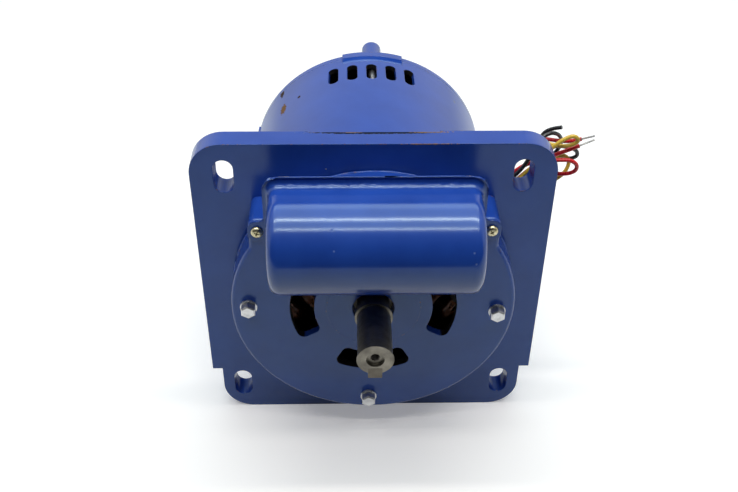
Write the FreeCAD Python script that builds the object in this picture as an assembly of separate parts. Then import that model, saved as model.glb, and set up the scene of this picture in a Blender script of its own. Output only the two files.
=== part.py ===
import FreeCAD, Part
import math
import os
from FreeCAD import Vector

# Single phase capacitor start motor with a square flange plate, in millimetres.
# Every piece is modelled about the shaft axis, which runs along Y through the origin. The plate's
# front face is at y = 0 and the shaft points to minus Y. At the end each piece is moved so that the
# part stands on z = 0 with its length centred on y = 0. Angles are measured from straight up,
# clockwise as seen from the front.

# Fits and overruns
overrun = 1.0
slip_gap = 0.02
running_gap = 0.05
seat_gap = 0.3
air_gap = 0.4

# Flange plate
plate_half_width = 101.75
plate_top = 97.85
plate_bottom = 104.05
plate_thick = 13.7
plate_corner = 19.0
tab_half_width = 95.6
tab_top = 70.0
slot_width = 11.2
slot_length = 21.0
slot_half_spacing_x = 83.0
slot_half_spacing_z = 80.0
slot_centre_below_axis = 2.7
register_radius = 104.4
register_depth = 1.2

# Shell and its vents
shell_radius = 78.7
shell_wall = 3.2
shell_setback = 0.5
shell_length = 140.5
vent_count = 5
vent_pitch_angle = 9.2
vent_centre_angle = 1.1
vent_width = 6.8
vent_length = 20.0
vent_from_shell_rear = 10.0
weld_leg = 4.0

# Leads leave the shell here
lead_hole_radius = 6.5
lead_exit_y = 27.0
lead_exit_angle = 57.0

# Front end bell
bell_over_shell = 3.8
bell_depth = 22.6
bell_wall = 5.0
bell_edge_round = 2.0
bell_rim_round = 3.0
spigot_length = 6.0
spigot_wall = 4.0
bell_pad_radius = 27.5
bell_pad_height = 0.4
front_hub_radius = 31.5
front_bearing_setback = 8.6
hub_hole_radius = 12.2
kidney_inner = 34.5
kidney_outer = 48.6
kidney_half_angle = 28.7
kidney_count = 4
kidney_corner = 4.0
lug_half_width = 69.2
lug_top = 64.0
lug_corner = 5.0
lug_inner = 50.0
lug_foot = 38.0
cover_screw_x = 64.0
cover_screw_z = 57.4
lug_hole_depth = 13.0

# Through bolts
bolt_count = 4
bolt_inset = 6.4
bolt_turn = 1.8
bolt_radius = 2.4
bolt_clearance = 0.25
bolt_head_sides = 6
bolt_head_flats = 8.0
bolt_head_height = 5.0
washer_radius = 5.0
washer_thick = 1.0

# Rear end bell
rear_rim_height = 6.0
rear_ear_height = 1.0
rear_ear_half_angle = 14.5
rear_boss_radius = 6.5
rear_boss_length = 17.0
rear_cone_length = 13.0
rear_rim_chamfer = 2.7
rear_cone_end = 46.0
rear_wall = 4.5
rear_hub_radius = 25.0
rear_hub_length = 24.0
rear_hub_cap = 3.0
rear_vent_inner = 30.0
rear_vent_outer = 52.0
rear_vent_half_angle = 24.0
tapped_depth = 12.0

# Bearings
front_bearing_bore = 12.5
front_bearing_outer = 26.0
front_bearing_width = 15.0
rear_bearing_bore = 8.5
rear_bearing_outer = 20.0
rear_bearing_width = 12.0
race_wall_share = 0.27
shield_thick = 0.8
bearing_relief = 0.8
circlip_thick = 1.5
circlip_depth = 1.2
circlip_width = 4.0
wave_spring_thick = 0.6

# Shaft
shaft_radius = 9.8
shaft_front = 65.4
shaft_lip_radius = 10.4
shaft_lip_length = 1.5
shaft_ring_radius = 11.0
shaft_ring_front = 31.0
shaft_ring_thick = 1.6
shaft_neck_radius = 9.6
shaft_shoulder_radius = 16.0
shaft_shoulder_length = 3.0
core_seat_radius = 14.0
governor_seat_radius = 13.0
rear_journal_extra = 0.8
centre_hole_radius = 2.5
centre_hole_depth = 18.0
counterbore_radius = 5.1
counterbore_depth = 2.2
key_width = 8.0
key_height = 7.4
key_length = 32.0
keyway_depth = 3.6
key_edge_round = 0.6

# Stator and rotor
stator_front = 38.0
stack_length = 60.0
stator_wall = 35.5
slot_count = 24
core_back = 13.9
slot_inset = 1.6
slot_wide = 6.4
slot_mouth = 2.6
slot_clearance = 0.25
wedge_thick = 1.25
bolt_groove = 4.4
rotor_bar_count = 18
rotor_bar_width = 3.4
rotor_bar_depth = 9.0
rotor_bar_cover = 0.8
end_ring_wall = 11.0
end_ring_length = 8.0
blade_count = 9
blade_length = 6.0
blade_thick = 2.4
blade_inset = 1.2

# Winding heads
main_coil_gap = 10.5
main_bundle = 5.0
main_reach = 24.0
start_coil_gap = 1.8
start_bundle = 4.2
start_reach = 17.0
pole_count = 4
coil_gap = 0.6
bundle_sides = 8
tie_width = 4.0
tie_thick = 0.8
tie_gap = 0.1
tie_angle = 22.0

# Governor on the shaft
governor_clear = 3.0
governor_base_thick = 3.0
governor_base_radius = 20.0
root_inner = 17.5
ear_inner = 20.6
ear_outer = 27.0
ear_thick = 1.6
ear_gap = 5.2
weight_pivot_x = 23.2
weight_pivot_rise = 12.5
weight_pin_radius = 1.2
weight_boss_radius = 2.4
weight_width = 9.6
weight_inner = 21.4
weight_outer = 27.6
weight_length = 8.5
weight_finger_thick = 1.6
collar_wall = 5.0
collar_flange_radius = 19.0
collar_flange_thick = 1.6
collar_groove_floor = 14.9
collar_groove_side = 1.1

# Starting switch
switch_plate_front = 131.0
switch_plate_thick = 2.0
switch_plate_gap = 17.5
switch_plate_hole = 23.0
switch_post_radius = 4.5
switch_post_inset = 6.0
switch_post_count = 4
switch_screw_radius = 1.7
arm_pivot_x = 37.0
arm_tip_x = 16.8
arm_width = 7.0
arm_thick = 0.8
arm_barrel_radius = 1.9
arm_pin_radius = 0.9
arm_button_radius = 2.2
arm_button_x = 27.0
bracket_thick = 1.0
bracket_base = 0.2

# Capacitor, its cover and back plate
cover_radius = 25.5
cover_centre_z = 58.0
cover_half_length = 56.5
cover_front = 64.6
cover_sheet = 0.9
cover_end_round = 6.0
cover_foot_round = 3.4
flange_half_width = 60.0
flange_top = 92.6
flange_bottom = 28.3
flange_corner = 10.0
ear_bottom = 50.4
ear_corner = 5.0
ear_fillet = 3.0
back_sheet = 0.6
back_inset = 0.5
wire_slot_margin = 1.0
capacitor_radius = 18.0
capacitor_length = 86.0
capacitor_rim = 1.2
capacitor_drop_share = 0.42
terminal_width = 6.3
terminal_thick = 0.8
terminal_length = 8.0
terminal_spread = 9.0
screw_head_radius = 3.5
screw_head_height = 2.4
screw_radius = 1.8
crown_share = 0.4

# Leads
lead_radius = 1.2
lead_sides = 6
tip_radius = 0.55
tip_length = 9.0
grommet_lip = 1.6
grommet_lip_radius = 8.2
grommet_bore = 4.9
arc_share = 0.45
lead_row_pitch = 3.1
lead_column_offset = 1.45
lead_start_gap = 2.5

# Radii and stations along the shaft, from the sizes above
shell_rear = shell_setback + shell_length
shell_bore = shell_radius - shell_wall
bell_radius = shell_radius + bell_over_shell
bolt_circle = shell_radius - bolt_inset
rear_ear_radius = shell_radius + rear_ear_height
rear_cone_top = shell_radius - rear_rim_chamfer
stator_bore = shell_bore - stator_wall
slot_depth = stator_wall - core_back - slot_inset
end_ring_outer = stator_bore - air_gap - rotor_bar_cover
end_ring_inner = end_ring_outer - end_ring_wall
main_coil_radius = shell_bore - main_bundle - main_coil_gap
start_coil_radius = main_coil_radius - main_bundle - start_bundle - start_coil_gap
switch_plate_radius = shell_bore - switch_plate_gap
switch_post_circle = switch_plate_radius - switch_post_inset
lead_start_radius = shell_radius + lead_start_gap
stator_rear = stator_front + stack_length
front_bearing_front = front_bearing_setback - bell_depth
front_bearing_rear = front_bearing_front + front_bearing_width
rear_hub_rear = shell_rear + rear_hub_length
rear_bearing_rear = rear_hub_rear - rear_hub_cap - wave_spring_thick
rear_bearing_front = rear_bearing_rear - rear_bearing_width
governor_front = stator_rear + end_ring_length + governor_clear
governor_face = governor_front + governor_base_thick
collar_rear = switch_plate_front - arm_barrel_radius - seat_gap - arm_thick * 2
cover_axis_y = cover_radius - cover_front
flange_front = -bell_depth - back_sheet - cover_sheet
length_centre = (rear_hub_rear - shaft_front) / 2
NODES = {}


def at(radius, angle, y=0.0):
    turn = math.radians(angle)
    return Vector(radius * math.sin(turn), y, radius * math.cos(turn))


def rod(radius, y_front, y_rear, x=0.0, z=0.0):
    return Part.makeCylinder(radius, y_rear - y_front, Vector(x, y_front, z), Vector(0, 1, 0))


def tube(outer, inner, y_front, y_rear, x=0.0, z=0.0):
    body = rod(outer, y_front, y_rear, x, z)
    return body.cut(rod(inner, y_front - overrun, y_rear + overrun, x, z))


def block(x0, x1, y0, y1, z0, z1):
    return Part.makeBox(x1 - x0, y1 - y0, z1 - z0, Vector(x0, y0, z0))


def turned(profile):
    """Solid of revolution about the shaft axis from (radius, y) points."""
    points = [Vector(radius, y, 0) for radius, y in profile]
    face = Part.Face(Part.makePolygon(points + points[:1]))
    return face.revolve(Vector(0, 0, 0), Vector(0, 1, 0), 360)


def polygon(radius, sides, centre, across, up):
    """Regular polygon about centre in the plane of two unit vectors, flat side up."""
    points = []
    for index in range(sides):
        turn = math.pi * (2 * index + 1) / sides
        points.append(centre + across * (radius * math.sin(turn)) + up * (radius * math.cos(turn)))
    return Part.makePolygon(points + points[:1])


def around(shape, angle):
    turned_copy = shape.copy()
    turned_copy.rotate(Vector(0, 0, 0), Vector(0, 1, 0), angle)
    return turned_copy


def edges_along_y(shape, x_min):
    """Edges that run along Y and lie further than x_min from the middle."""
    found = []
    for edge in shape.Edges:
        first, last = edge.Vertexes[0].Point, edge.Vertexes[-1].Point
        straight = abs(first.x - last.x) < slip_gap and abs(first.z - last.z) < slip_gap
        if straight and first.distanceToPoint(last) > slip_gap and abs(first.x) > x_min:
            found.append(edge)
    return found


def outline_solid(points, corners, y_front, y_rear):
    """Prism between two y stations with the given (x, z) outline and a radius per corner."""
    count = len(points)
    edges = []
    previous = None
    first = None
    for index in range(count):
        here = Vector(points[index][0], y_front, points[index][1])
        before = Vector(points[index - 1][0], y_front, points[index - 1][1])
        after = Vector(points[(index + 1) % count][0], y_front, points[(index + 1) % count][1])
        start, middle, end = corner_arc(before, here, after, corners[index])
        if previous is not None and previous.distanceToPoint(start) > slip_gap:
            edges.append(Part.LineSegment(previous, start).toShape())
        if corners[index] > 0:
            edges.append(Part.Arc(start, middle, end).toShape())
        if first is None:
            first = start
        previous = end
    if previous.distanceToPoint(first) > slip_gap:
        edges.append(Part.LineSegment(previous, first).toShape())
    return Part.Face(Part.Wire(edges)).extrude(Vector(0, y_rear - y_front, 0))


def corner_arc(before, here, after, radius):
    """Start, middle and end of the arc that rounds the corner at here."""
    to_before = (before - here).normalize()
    to_after = (after - here).normalize()
    half = to_before.getAngle(to_after) / 2
    reach = radius / math.tan(half) if radius > 0 else 0.0
    bisector = to_before + to_after
    if bisector.Length < slip_gap:
        return here, here, here
    bisector.normalize()
    middle = here + bisector * (radius / math.sin(half) - radius)
    return here + to_before * reach, middle, here + to_after * reach


def annular_slot(inner, outer, half_angle, corner, y_front, y_rear):
    """Kidney shaped prism about straight up; its corners are rounded when a radius is given."""
    mid_inner = at(inner, 0, y_front)
    mid_outer = at(outer, 0, y_front)
    ends = [at(inner, -half_angle, y_front), at(outer, -half_angle, y_front)]
    ends += [at(outer, half_angle, y_front), at(inner, half_angle, y_front)]
    edges = [Part.LineSegment(ends[0], ends[1]).toShape()]
    edges.append(Part.Arc(ends[1], mid_outer, ends[2]).toShape())
    edges.append(Part.LineSegment(ends[2], ends[3]).toShape())
    edges.append(Part.Arc(ends[3], mid_inner, ends[0]).toShape())
    solid = Part.Face(Part.Wire(edges)).extrude(Vector(0, y_rear - y_front, 0))
    if corner == 0:
        return solid
    return solid.makeFillet(corner, edges_along_y(solid, 0.0))


def obround(width, length, y_front, y_rear, x, z):
    """Upright slot cutter with round ends."""
    half = (length - width) / 2
    body = block(x - width / 2, x + width / 2, y_front, y_rear, z - half, z + half)
    lower = rod(width / 2, y_front, y_rear, x, z - half)
    return body.fuse([lower, rod(width / 2, y_front, y_rear, x, z + half)])


def bolt_places():
    step = 360 / bolt_count
    return [at(bolt_circle, bolt_turn + step * index) for index in range(bolt_count)]


def flange_plate():
    outline = [(-plate_half_width, plate_top), (plate_half_width, plate_top),
               (plate_half_width, -tab_top), (tab_half_width, -tab_top),
               (tab_half_width, -plate_bottom), (-tab_half_width, -plate_bottom),
               (-tab_half_width, -tab_top), (-plate_half_width, -tab_top)]
    corners = [plate_corner, plate_corner, 0, 0, plate_corner, plate_corner, 0, 0]
    plate = outline_solid(outline, corners, 0.0, plate_thick)
    plate = plate.cut(rod(shell_radius + slip_gap, -overrun, plate_thick + overrun))
    plate = plate.cut(rod(register_radius, plate_thick - register_depth, plate_thick + overrun))
    for x in (-slot_half_spacing_x, slot_half_spacing_x):
        for side in (-1, 1):
            z = side * slot_half_spacing_z - slot_centre_below_axis
            plate = plate.cut(obround(slot_width, slot_length, -overrun, plate_thick + overrun, x, z))
    return plate


def flange_weld():
    foot = plate_thick - register_depth
    return turned([(shell_radius + slip_gap, foot), (shell_radius + weld_leg, foot),
                   (shell_radius + slip_gap, foot + weld_leg)])


def vent_cutter(angle):
    rear = shell_rear - vent_from_shell_rear
    half = (vent_length - vent_width) / 2
    middle = rear - vent_length / 2
    reach = shell_wall * 2 + overrun
    base = shell_bore - shell_wall
    corner = Vector(-vent_width / 2, middle - half, base)
    body = Part.makeBox(vent_width, half * 2, reach + shell_wall, corner)
    for y in (middle - half, middle + half):
        end = Part.makeCylinder(vent_width / 2, reach + shell_wall, Vector(0, y, base), Vector(0, 0, 1))
        body = body.fuse(end)
    return around(body, angle)


def motor_shell():
    shell = tube(shell_radius, shell_bore, shell_setback, shell_rear)
    for group in (0, 180):
        for index in range(vent_count):
            angle = group + vent_centre_angle + (index - (vent_count - 1) / 2) * vent_pitch_angle
            shell = shell.cut(vent_cutter(angle))
    start = at(shell_bore - shell_wall, lead_exit_angle, lead_exit_y)
    hole = Part.makeCylinder(lead_hole_radius, shell_wall * 3, start, at(1, lead_exit_angle))
    return shell.cut(hole)


def bolt_clearance_holes(shape, y_front, y_rear):
    for place in bolt_places():
        shape = shape.cut(rod(bolt_radius + bolt_clearance, y_front, y_rear, place.x, place.z))
    return shape


def lug(side):
    """Ear of the bell that takes a cover screw, its outer front edges rounded like the bell's."""
    outer = side * lug_half_width
    inner = side * lug_inner
    points = [(inner, lug_foot), (inner, lug_top), (outer, lug_top), (outer, lug_foot)]
    solid = outline_solid(points, [0, 0, lug_corner, 0], -bell_depth, 0.0)
    rim = []
    for edge in solid.Edges:
        middle = edge.CenterOfMass
        outside = abs(middle.x) > lug_half_width - lug_corner or middle.z > lug_top - lug_corner
        if middle.y < slip_gap - bell_depth and outside:
            rim.append(edge)
    return solid.makeFillet(bell_edge_round, rim)


def front_end_bell():
    inner_face = bell_wall - bell_depth
    bore = bell_radius - bell_wall
    body = rod(bell_radius, -bell_depth, 0.0)
    front_edge = [edge for edge in body.Edges if edge.CenterOfMass.y < slip_gap - bell_depth]
    body = body.makeFillet(bell_edge_round, front_edge)
    rear_edge = [edge for edge in body.Edges if edge.CenterOfMass.y > -slip_gap]
    body = body.makeFillet(bell_rim_round, rear_edge)
    body = body.fuse([lug(-1), lug(1)]).removeSplitter()
    body = body.fuse(rod(shell_bore - slip_gap, 0.0, shell_setback + spigot_length))
    body = body.fuse(rod(bell_pad_radius, -bell_depth - bell_pad_height, 0.0))
    inside = turned([(front_hub_radius, inner_face), (bore, inner_face), (bore, -bell_wall),
                     (shell_bore - spigot_wall, 0.0), (shell_bore - spigot_wall, spigot_length + overrun),
                     (front_hub_radius, spigot_length + overrun)])
    body = body.cut(inside)
    pocket_rear = front_bearing_rear + circlip_thick + circlip_depth
    body = body.cut(rod(front_hub_radius + slip_gap, pocket_rear, spigot_length + overrun))
    body = body.cut(rod(front_bearing_outer + slip_gap, front_bearing_front, pocket_rear + overrun))
    groove = tube(front_bearing_outer + circlip_depth, front_bearing_outer, front_bearing_rear,
                  front_bearing_rear + circlip_thick + slip_gap)
    body = body.cut(groove)
    relief = front_bearing_outer * (1 - race_wall_share) - shield_thick
    body = body.cut(rod(relief, front_bearing_front - bearing_relief, front_bearing_front + overrun))
    body = body.cut(rod(hub_hole_radius, -bell_depth - bell_pad_height - overrun, front_bearing_front))
    for index in range(kidney_count):
        cutter = annular_slot(kidney_inner, kidney_outer, kidney_half_angle, kidney_corner,
                              -bell_depth - overrun, inner_face + overrun)
        body = body.cut(around(cutter, index * 360 / kidney_count))
    body = bolt_clearance_holes(body, -bell_depth - overrun, spigot_length + overrun)
    for side in (-1, 1):
        hole = rod(screw_radius, -bell_depth - overrun, lug_hole_depth - bell_depth,
                   side * cover_screw_x, cover_screw_z)
        body = body.cut(hole)
    return body


def rear_end_bell():
    rim_rear = shell_rear + rear_rim_height
    cone_rear = rim_rear + rear_cone_length
    outside = turned([(0, shell_rear), (shell_radius, shell_rear), (shell_radius, rim_rear - overrun),
                      (rear_cone_top, rim_rear), (rear_cone_end, cone_rear), (0, cone_rear)])
    ear = annular_slot(bolt_circle, rear_ear_radius, rear_ear_half_angle, 0, shell_rear, rim_rear)
    boss_rear = rim_rear + rear_boss_length
    for index, place in enumerate(bolt_places()):
        outside = outside.fuse(around(ear, bolt_turn + index * 360 / bolt_count))
        boss = rod(rear_boss_radius, rim_rear - rear_wall, boss_rear, place.x, place.z)
        outside = outside.fuse(boss)
    spigot_front = shell_rear - spigot_length
    outside = outside.fuse(rod(shell_bore - slip_gap, spigot_front, shell_rear))
    mouth = spigot_front - overrun
    inner = turned([(0, mouth), (shell_bore - spigot_wall, mouth), (shell_bore - spigot_wall, shell_rear),
                    (rear_cone_top - rear_wall, rim_rear - rear_wall),
                    (rear_cone_end - rear_wall, cone_rear - rear_wall), (0, cone_rear - rear_wall)])
    body = outside.cut(inner)
    for index in range(bolt_count):
        cutter = annular_slot(rear_vent_inner, rear_vent_outer, rear_vent_half_angle, 0,
                              shell_rear, cone_rear + overrun)
        body = body.cut(around(cutter, index * 360 / bolt_count))
    hub_front = rear_bearing_front - circlip_depth
    body = body.fuse(rod(rear_hub_radius, hub_front, rear_hub_rear))
    posts_end = cone_rear - rear_wall / 2
    post_front = switch_plate_front + switch_plate_thick
    for place in post_places():
        body = body.fuse(rod(switch_post_radius, post_front, posts_end, place.x, place.z))
        hole_rear = post_front + tapped_depth
        body = body.cut(rod(switch_screw_radius, switch_plate_front, hole_rear, place.x, place.z))
    body = body.cut(rod(rear_bearing_outer + slip_gap, hub_front - overrun, rear_hub_rear - rear_hub_cap))
    return bolt_clearance_holes(body, spigot_front - overrun, boss_rear - rear_wall)


def post_places():
    step = 360 / switch_post_count
    angles = [step * (index + 1 / 2) for index in range(switch_post_count)]
    return [at(switch_post_circle, angle) for angle in angles]


def hex_head(flats, y_front, y_rear, x, z):
    corner = flats / 2 / math.cos(math.pi / bolt_head_sides)
    middle = Vector(x, y_front, z)
    outline = polygon(corner, bolt_head_sides, middle, Vector(1, 0, 0), Vector(0, 0, 1))
    return Part.Face(outline).extrude(Vector(0, y_rear - y_front, 0))


def through_bolts():
    bolts = []
    head_rear = -bell_depth - washer_thick
    end = shell_rear + rear_rim_height + rear_boss_length - rear_wall - overrun
    for place in bolt_places():
        head = hex_head(bolt_head_flats, head_rear - bolt_head_height, head_rear, place.x, place.z)
        bolts.append(head.fuse(rod(bolt_radius, head_rear, end, place.x, place.z)))
    return Part.makeCompound(bolts)


def bolt_washers():
    hole = bolt_radius + bolt_clearance
    return Part.makeCompound([tube(washer_radius, hole, -bell_depth - washer_thick, -bell_depth, p.x, p.z)
                              for p in bolt_places()])


def bearing_outer(bore, outer, width, y_front):
    """Outer ring with the two shields that close the space for the balls."""
    inner_edge = outer - (outer - bore) * race_wall_share
    shield_edge = bore + (outer - bore) * race_wall_share + seat_gap
    y_rear = y_front + width
    ring = turned([(inner_edge, y_front + shield_thick), (shield_edge, y_front + shield_thick),
                   (shield_edge, y_front), (outer, y_front), (outer, y_rear), (shield_edge, y_rear),
                   (shield_edge, y_rear - shield_thick), (inner_edge, y_rear - shield_thick)])
    return ring


def bearing_inner(bore, outer, width, y_front):
    edge = bore + (outer - bore) * race_wall_share
    return tube(edge, bore, y_front, y_front + width)


def rotor_shaft():
    tip = -shaft_front
    ring_front = -shaft_ring_front
    ring_rear = ring_front + shaft_ring_thick
    seat_rear = stator_rear + end_ring_length
    journal_rear = rear_bearing_front - rear_journal_extra
    profile = [(0, tip), (shaft_lip_radius, tip), (shaft_lip_radius, tip + shaft_lip_length / 2),
               (shaft_radius, tip + shaft_lip_length), (shaft_radius, ring_front),
               (shaft_ring_radius, ring_front), (shaft_ring_radius, ring_rear),
               (shaft_neck_radius, ring_rear), (shaft_neck_radius, front_bearing_front - bearing_relief),
               (front_bearing_bore, front_bearing_front - bearing_relief),
               (front_bearing_bore, front_bearing_rear),
               (shaft_shoulder_radius, front_bearing_rear),
               (shaft_shoulder_radius, front_bearing_rear + shaft_shoulder_length),
               (core_seat_radius, front_bearing_rear + shaft_shoulder_length), (core_seat_radius, seat_rear),
               (governor_seat_radius, seat_rear), (governor_seat_radius, switch_plate_front),
               (rear_bearing_bore + rear_journal_extra * 2, switch_plate_front),
               (rear_bearing_bore + rear_journal_extra * 2, rear_bearing_front),
               (rear_bearing_bore, rear_bearing_front), (rear_bearing_bore, rear_bearing_rear),
               (0, rear_bearing_rear)]
    shaft = turned(profile)
    shaft = shaft.cut(rod(counterbore_radius, tip - overrun, tip + counterbore_depth))
    shaft = shaft.cut(rod(centre_hole_radius, tip, tip + centre_hole_depth))
    floor = keyway_depth - shaft_radius
    half = key_width / 2
    keyway = block(-half, half, tip - overrun, tip + key_length, -shaft_lip_radius - overrun, floor)
    return shaft.cut(keyway)


def shaft_key():
    tip = -shaft_front
    top = keyway_depth - shaft_radius
    half = key_width / 2 - slip_gap
    key = block(-half, half, tip, tip + key_length - slip_gap, top - key_height, top)
    lower = [edge for edge in key.Edges if edge.CenterOfMass.z < top - key_height + slip_gap
             and edge.Length > key_width]
    return key.makeFillet(key_edge_round, lower)


def stator_slot_cutter():
    floor = stator_bore + slot_inset + slot_depth
    half = slot_wide / 2
    front, rear = stator_front - overrun, stator_rear + overrun
    body = block(-half, half, front, rear, stator_bore + slot_inset, floor)
    mouth = block(-slot_mouth / 2, slot_mouth / 2, front, rear, stator_bore - overrun, floor - half)
    return body.fuse(mouth)


def stator_core():
    core = tube(shell_bore - slip_gap, stator_bore, stator_front, stator_rear)
    cutter = stator_slot_cutter()
    step = 360 / slot_count
    cutters = [around(cutter, step * (index + 1 / 2)) for index in range(slot_count)]
    core = core.cut(cutters)
    for place in bolt_places():
        core = core.cut(rod(bolt_groove, stator_front - overrun, stator_rear + overrun, place.x, place.z))
    return core


def coil_sides():
    half = slot_wide / 2 - slot_clearance
    inner = stator_bore + slot_inset + wedge_thick + slot_clearance * 2
    outer = stator_bore + slot_inset + slot_depth - slot_clearance
    side = block(-half, half, stator_front, stator_rear, inner, outer)
    step = 360 / slot_count
    return Part.makeCompound([around(side, step * (index + 1 / 2)) for index in range(slot_count)])


def slot_wedges():
    half = slot_wide / 2 - slot_clearance
    base = stator_bore + slot_inset + slot_clearance
    wedge = block(-half, half, stator_front - overrun, stator_rear + overrun, base, base + wedge_thick)
    step = 360 / slot_count
    return Part.makeCompound([around(wedge, step * (index + 1 / 2)) for index in range(slot_count)])


def coil_end(radius, bundle, reach, side):
    """End turns of one pole: a leg out of the slots, the bundle round the bore and a leg back."""
    stack_face = stator_rear if side > 0 else stator_front
    y_arc = stack_face + side * reach
    leg_top = y_arc + side * bundle * math.sin(math.pi / bundle_sides)
    leg_angle = 180 / pole_count - math.degrees(math.asin((bundle + coil_gap) / radius))
    outward = Vector(0, 0, 1)
    section = Part.Face(polygon(bundle, bundle_sides, at(radius, 0, y_arc), Vector(0, 1, 0), outward))
    turns = around(section, -leg_angle).revolve(Vector(0, 0, 0), Vector(0, 1, 0), leg_angle * 2)
    foot = Part.Face(polygon(bundle, bundle_sides, at(radius, 0, stack_face), Vector(1, 0, 0), outward))
    leg = foot.extrude(Vector(0, leg_top - stack_face, 0))
    return turns.fuse([around(leg, -leg_angle), around(leg, leg_angle)])


def winding_head(radius, bundle, reach, side, first_angle):
    coil = coil_end(radius, bundle, reach, side)
    step = 360 / pole_count
    return Part.makeCompound([around(coil, first_angle + index * step) for index in range(pole_count)])


def winding_lacing(side):
    """Tape ties round the main coil ends, each a closed band."""
    stack_face = stator_rear if side > 0 else stator_front
    middle = Vector(-tie_width / 2, stack_face + side * main_reach, main_coil_radius)
    inner = main_bundle + tie_gap
    wires = [polygon(radius, bundle_sides, middle, Vector(0, 1, 0), Vector(0, 0, 1))
             for radius in (inner + tie_thick, inner)]
    band, hollow = [Part.Face(wire).extrude(Vector(tie_width, 0, 0)) for wire in wires]
    band = band.cut(hollow)
    step = 360 / pole_count
    ties = []
    for pole in range(pole_count):
        for angle in (-tie_angle, 0, tie_angle):
            ties.append(around(band, pole * step + angle))
    return Part.makeCompound(ties)


def rotor_bar(clearance):
    outer = end_ring_outer + clearance
    inner = outer - rotor_bar_depth - clearance * 2
    half = rotor_bar_width / 2 + clearance
    return block(-half, half, stator_front - overrun, stator_rear + overrun, inner, outer)


def rotor_core():
    core = tube(stator_bore - air_gap, core_seat_radius + slip_gap, stator_front, stator_rear)
    step = 360 / rotor_bar_count
    return core.cut([around(rotor_bar(slip_gap), step * index) for index in range(rotor_bar_count)])


def rotor_cage():
    front = tube(end_ring_outer, end_ring_inner, stator_front - end_ring_length, stator_front)
    rear = tube(end_ring_outer, end_ring_inner, stator_rear, stator_rear + end_ring_length)
    pieces = [rear]
    step = 360 / rotor_bar_count
    pieces += [around(rotor_bar(0.0), step * index) for index in range(rotor_bar_count)]
    half = blade_thick / 2
    blade_inner = end_ring_inner + blade_inset
    blade_outer = end_ring_outer - blade_inset
    front_face = stator_front - end_ring_length
    rear_face = stator_rear + end_ring_length
    blades = [block(-half, half, front_face - blade_length, front_face + overrun, blade_inner, blade_outer),
              block(-half, half, rear_face - overrun, rear_face + blade_length, blade_inner, blade_outer)]
    for index in range(blade_count):
        pieces += [around(blade, index * 360 / blade_count) for blade in blades]
    return front.fuse(pieces)


def governor_base():
    """Pressed base on the shaft with two pairs of ears, each pair joined by a weight's pin."""
    pieces = []
    pin_y = governor_front + weight_pivot_rise
    ear_rear = pin_y + weight_boss_radius
    ear_z = ear_gap + ear_thick
    for z in (-ear_z, ear_gap):
        pieces.append(block(ear_inner, ear_outer, governor_front, ear_rear, z, z + ear_thick))
    pieces.append(block(root_inner, ear_outer, governor_front, governor_face, -ear_z, ear_z))
    foot = Vector(weight_pivot_x, pin_y, -ear_z)
    pieces.append(Part.makeCylinder(weight_pin_radius, ear_z * 2, foot, Vector(0, 0, 1)))
    pieces += [around(piece, 180) for piece in pieces]
    base = tube(governor_base_radius, governor_seat_radius + slip_gap, governor_front, governor_face)
    return base.fuse(pieces)


def governor_collar():
    bore = governor_seat_radius + running_gap
    outer = bore + collar_wall - circlip_depth
    pin_y = governor_front + weight_pivot_rise
    half = weight_finger_thick / 2 + collar_groove_side
    front = pin_y - half - weight_finger_thick
    flange_face = collar_rear - collar_flange_thick
    return turned([(bore, front), (outer, front), (outer, pin_y - half),
                   (collar_groove_floor, pin_y - half), (collar_groove_floor, pin_y + half),
                   (outer, pin_y + half), (outer, flange_face), (collar_flange_radius, flange_face),
                   (collar_flange_radius, collar_rear), (bore, collar_rear)])


def governor_weight(side):
    """Weight that swings out about its pin and draws the collar forward with its finger."""
    pin_y = governor_front + weight_pivot_rise
    half = weight_width / 2
    finger_half = weight_finger_thick / 2
    mass = block(weight_inner, weight_outer, pin_y - weight_length, pin_y, -half, half)
    boss_foot = Vector(weight_pivot_x, pin_y, -half)
    boss = Part.makeCylinder(weight_boss_radius, weight_width, boss_foot, Vector(0, 0, 1))
    finger = block(collar_groove_floor + seat_gap * 2, weight_pivot_x, pin_y - finger_half,
                   pin_y + finger_half, -arm_width / 2, arm_width / 2)
    hole_foot = boss_foot - Vector(0, 0, overrun)
    hole = Part.makeCylinder(weight_pin_radius + running_gap, weight_width + overrun * 2,
                             hole_foot, Vector(0, 0, 1))
    weight = mass.fuse([boss, finger]).cut(hole)
    return weight if side > 0 else around(weight, 180)


def switch_plate():
    rear = switch_plate_front + switch_plate_thick
    plate = tube(switch_plate_radius, switch_plate_hole, switch_plate_front, rear)
    for place in post_places():
        plate = plate.cut(rod(switch_screw_radius + slip_gap, switch_plate_front - overrun, rear + overrun,
                              place.x, place.z))
    return plate


def pan_screw(x, y_seat, z, length):
    """Pan head screw that points to plus Y."""
    crown = screw_head_height * crown_share
    screw = turned([(0, -screw_head_height), (screw_head_radius - crown, -screw_head_height),
                    (screw_head_radius, crown - screw_head_height), (screw_head_radius, 0),
                    (screw_radius - slip_gap, 0), (screw_radius - slip_gap, length), (0, length)])
    screw.translate(Vector(x, y_seat, z))
    return screw


def cover_screws():
    return Part.makeCompound([pan_screw(side * cover_screw_x, flange_front, cover_screw_z, lug_hole_depth)
                              for side in (-1, 1)])


def switch_screws():
    screws = []
    for place in post_places():
        head_front = switch_plate_front - screw_head_height
        head = rod(screw_head_radius, head_front, switch_plate_front, place.x, place.z)
        shank_rear = switch_plate_front + switch_plate_thick + tapped_depth - overrun
        shank = rod(switch_screw_radius - slip_gap, switch_plate_front, shank_rear, place.x, place.z)
        screws.append(head.fuse(shank))
    return Part.makeCompound(screws)


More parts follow.
